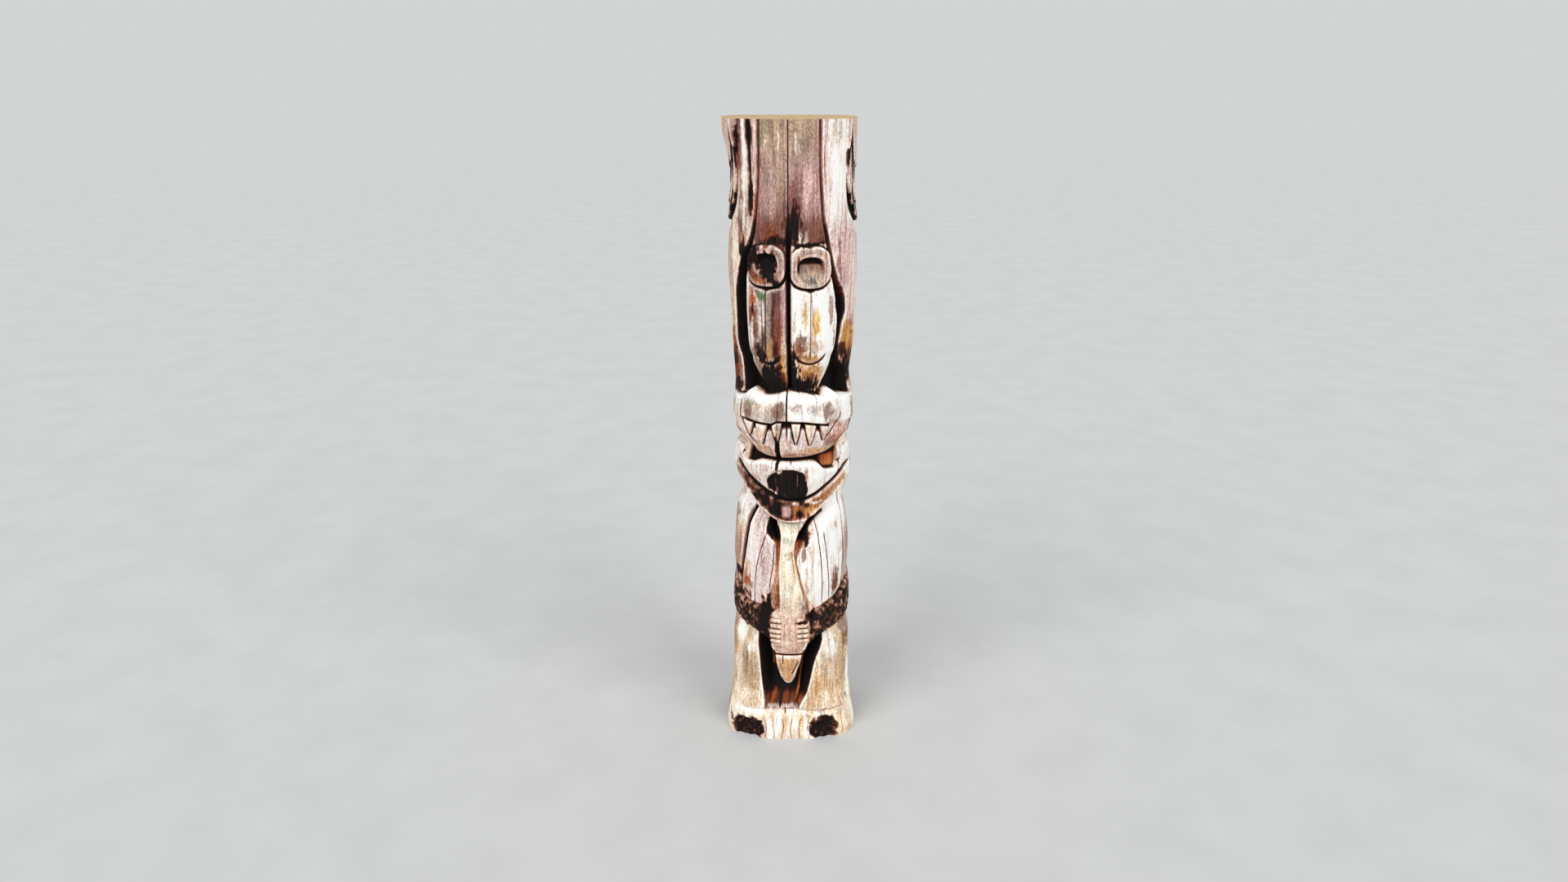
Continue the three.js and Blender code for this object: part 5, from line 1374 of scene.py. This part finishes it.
def weathered_cedar():
    s = Shader("weathered_cedar")
    paint = s.node("ShaderNodeAttribute", attribute_name="paint")
    tone, soot = paint.outputs["Color"], paint.outputs["Alpha"]

    # Grain runs up the pole; speckle is the open, fuzzy surface of old cedar.
    grain = s.noise(s.stretched((1, 1, 0.04)), 85, 4, 0.6, 0.3)
    fine_grain = s.noise(s.stretched((1, 1, 0.08)), 330, 3, 0.6)
    speckle = s.noise(s.stretched((1, 1, 0.5)), 135, 4, 0.75)
    clouds = s.noise(s.stretched((1, 1, 0.4)), 21, 4, 0.6, 0.5)

    light = s.times(s.ranged(grain, 0.33, 0.67, 0.72, 1.26), s.ranged(speckle, 0.34, 0.64, 0.55, 1.4))
    light = s.times(light, s.ranged(clouds, 0.3, 0.7, 0.88, 1.14))
    bright = s.times(s.ranged(tone, 0.5, 1.0), 0.7)
    light = s.plus(light, s.times(bright, s.math("SUBTRACT", 1.06, light)))
    colour = s.node("ShaderNodeVectorMath", {0: tone, 3: light}, operation="SCALE").outputs[0]
    warm = s.mixed(1.0, colour, flat(255, 244, 236), "MULTIPLY")
    colour = s.mixed(s.ranged(s.noise(s.stretched((1, 1, 0.3)), 48, 3), 0.35, 0.65), colour, warm)
    colour = s.node("ShaderNodeVectorMath", {0: colour, 1: MOST_LIGHT}, operation="MINIMUM").outputs[0]

    # Soot and painted shade turn the wood brown and then nearly black, broken up by the speckle and grain.
    loose = s.plus(s.times(s.plus(speckle, -0.5), 1.3), s.times(s.plus(grain, -0.5), 0.7))
    dirt_and_shade = s.plus(soot, s.times(loose, s.ranged(soot, 0.02, 0.3)))
    browned = s.mixed(1.0, colour, flat(176, 122, 96), "MULTIPLY")
    colour = s.mixed(s.ranged(dirt_and_shade, 0.12, 0.5), colour, browned)
    colour = s.mixed(s.ranged(dirt_and_shade, 0.38, 0.85), colour, flat(14, 6, 4))

    height = s.plus(grain, s.times(fine_grain, 0.5))
    height = s.plus(height, s.times(speckle, 0.5))
    roughness = s.ranged(grain, 0.3, 0.7, 0.78, 0.95)
    return s.finish(colour, roughness, height, 0.5, 0.003)


def sawn_end():
    """The cut ends: rings round the log's heart, with checks that run outwards."""
    s = Shader("sawn_end")
    split = s.node("ShaderNodeSeparateXYZ", {0: s.place})
    wobble = s.noise(s.stretched((1, 1, 0)), 5, 3, 0.5)
    oval = s.stretched((0.9, 1.1, 0))
    reach = s.node("ShaderNodeVectorMath", {0: oval}, operation="LENGTH").outputs["Value"]
    ring_place = s.plus(reach, s.times(wobble, 0.05))
    rings = s.math("SINE", s.times(ring_place, 900.0))
    turn = s.times(s.math("ARCTAN2", split.outputs[0], split.outputs[1]), 3.0)
    around_heart = s.node("ShaderNodeCombineXYZ", {0: turn, 1: s.times(reach, 1.2)}).outputs[0]
    rays = s.noise(around_heart, 9, 3, 0.7)
    colour = s.mixed(s.ranged(rings, -1, 1), flat(196, 158, 104), flat(222, 190, 138))
    colour = s.mixed(s.ranged(s.noise(s.place, 12, 5, 0.6), 0.35, 0.7), colour, flat(170, 152, 132))
    colour = s.mixed(s.ranged(rays, 0.66, 0.72), colour, flat(52, 34, 22))
    height = s.math("SUBTRACT", s.times(rings, 0.2), s.ranged(rays, 0.62, 0.72))
    return s.finish(colour, 0.9, height, 0.6, 0.003)


# The studio: the camera stands where the photo's does, and looks down on the pole

CAMERA_PLACE = (-0.045, -5.655, 3.752)
CAMERA_PITCH = math.radians(19.5)
PHOTO_WIDTH = 1920
FOCAL_PIXELS = 1304
SENSOR = 36
FLOOR_SIZE = 80
SKY = (0.97, 1.0, 1.0)
SKY_STRENGTH = 0.66
SUN_SPREAD = math.radians(35)
# Each light's name, azimuth, elevation and strength
SUNS = (("left_key", -42, 38, 1.35), ("right_fill", 48, 36, 1.15))


def make_camera():
    lens = bpy.data.cameras.new("camera")
    lens.sensor_width = SENSOR
    lens.lens = FOCAL_PIXELS * SENSOR / PHOTO_WIDTH
    camera = bpy.data.objects.new("camera", lens)
    camera.location = CAMERA_PLACE
    camera.rotation_euler = (math.pi / 2 - CAMERA_PITCH, 0, 0)
    bpy.context.scene.collection.objects.link(camera)
    bpy.context.scene.camera = camera


def sun(name, azimuth, elevation, strength):
    """A broad, soft light from this azimuth, in degrees to the right of the front."""
    light = bpy.data.lights.new(name, "SUN")
    light.energy = strength
    light.angle = SUN_SPREAD
    lamp = bpy.data.objects.new(name, light)
    lamp.rotation_euler = (math.radians(90 - elevation), 0, math.radians(azimuth))
    bpy.context.scene.collection.objects.link(lamp)


def make_studio():
    s = Shader("floor")
    mottle = s.ranged(s.noise(s.place, 2.2, 3), 0.3, 0.7, 0.55, 0.58)
    pale = s.node("ShaderNodeCombineColor", {0: mottle, 1: mottle, 2: mottle}).outputs[0]
    material = s.finish(pale, 0.9, s.noise(s.place, 60), 0.1, 0.001)
    bpy.ops.mesh.primitive_plane_add(size=FLOOR_SIZE, location=(0, 0, 0))
    floor = bpy.context.active_object
    floor.name = "floor"
    floor.data.materials.append(material)

    world = bpy.data.worlds.new("studio")
    world.use_nodes = True
    world.node_tree.nodes["Background"].inputs[0].default_value = (*SKY, 1)
    world.node_tree.nodes["Background"].inputs[1].default_value = SKY_STRENGTH
    bpy.context.scene.world = world
    for light in SUNS:
        sun(*light)
    bpy.context.scene.view_settings.view_transform = "Standard"


make_camera()
make_studio()
pole = make_pole()
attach(pole, "root")
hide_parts("carved_pole")
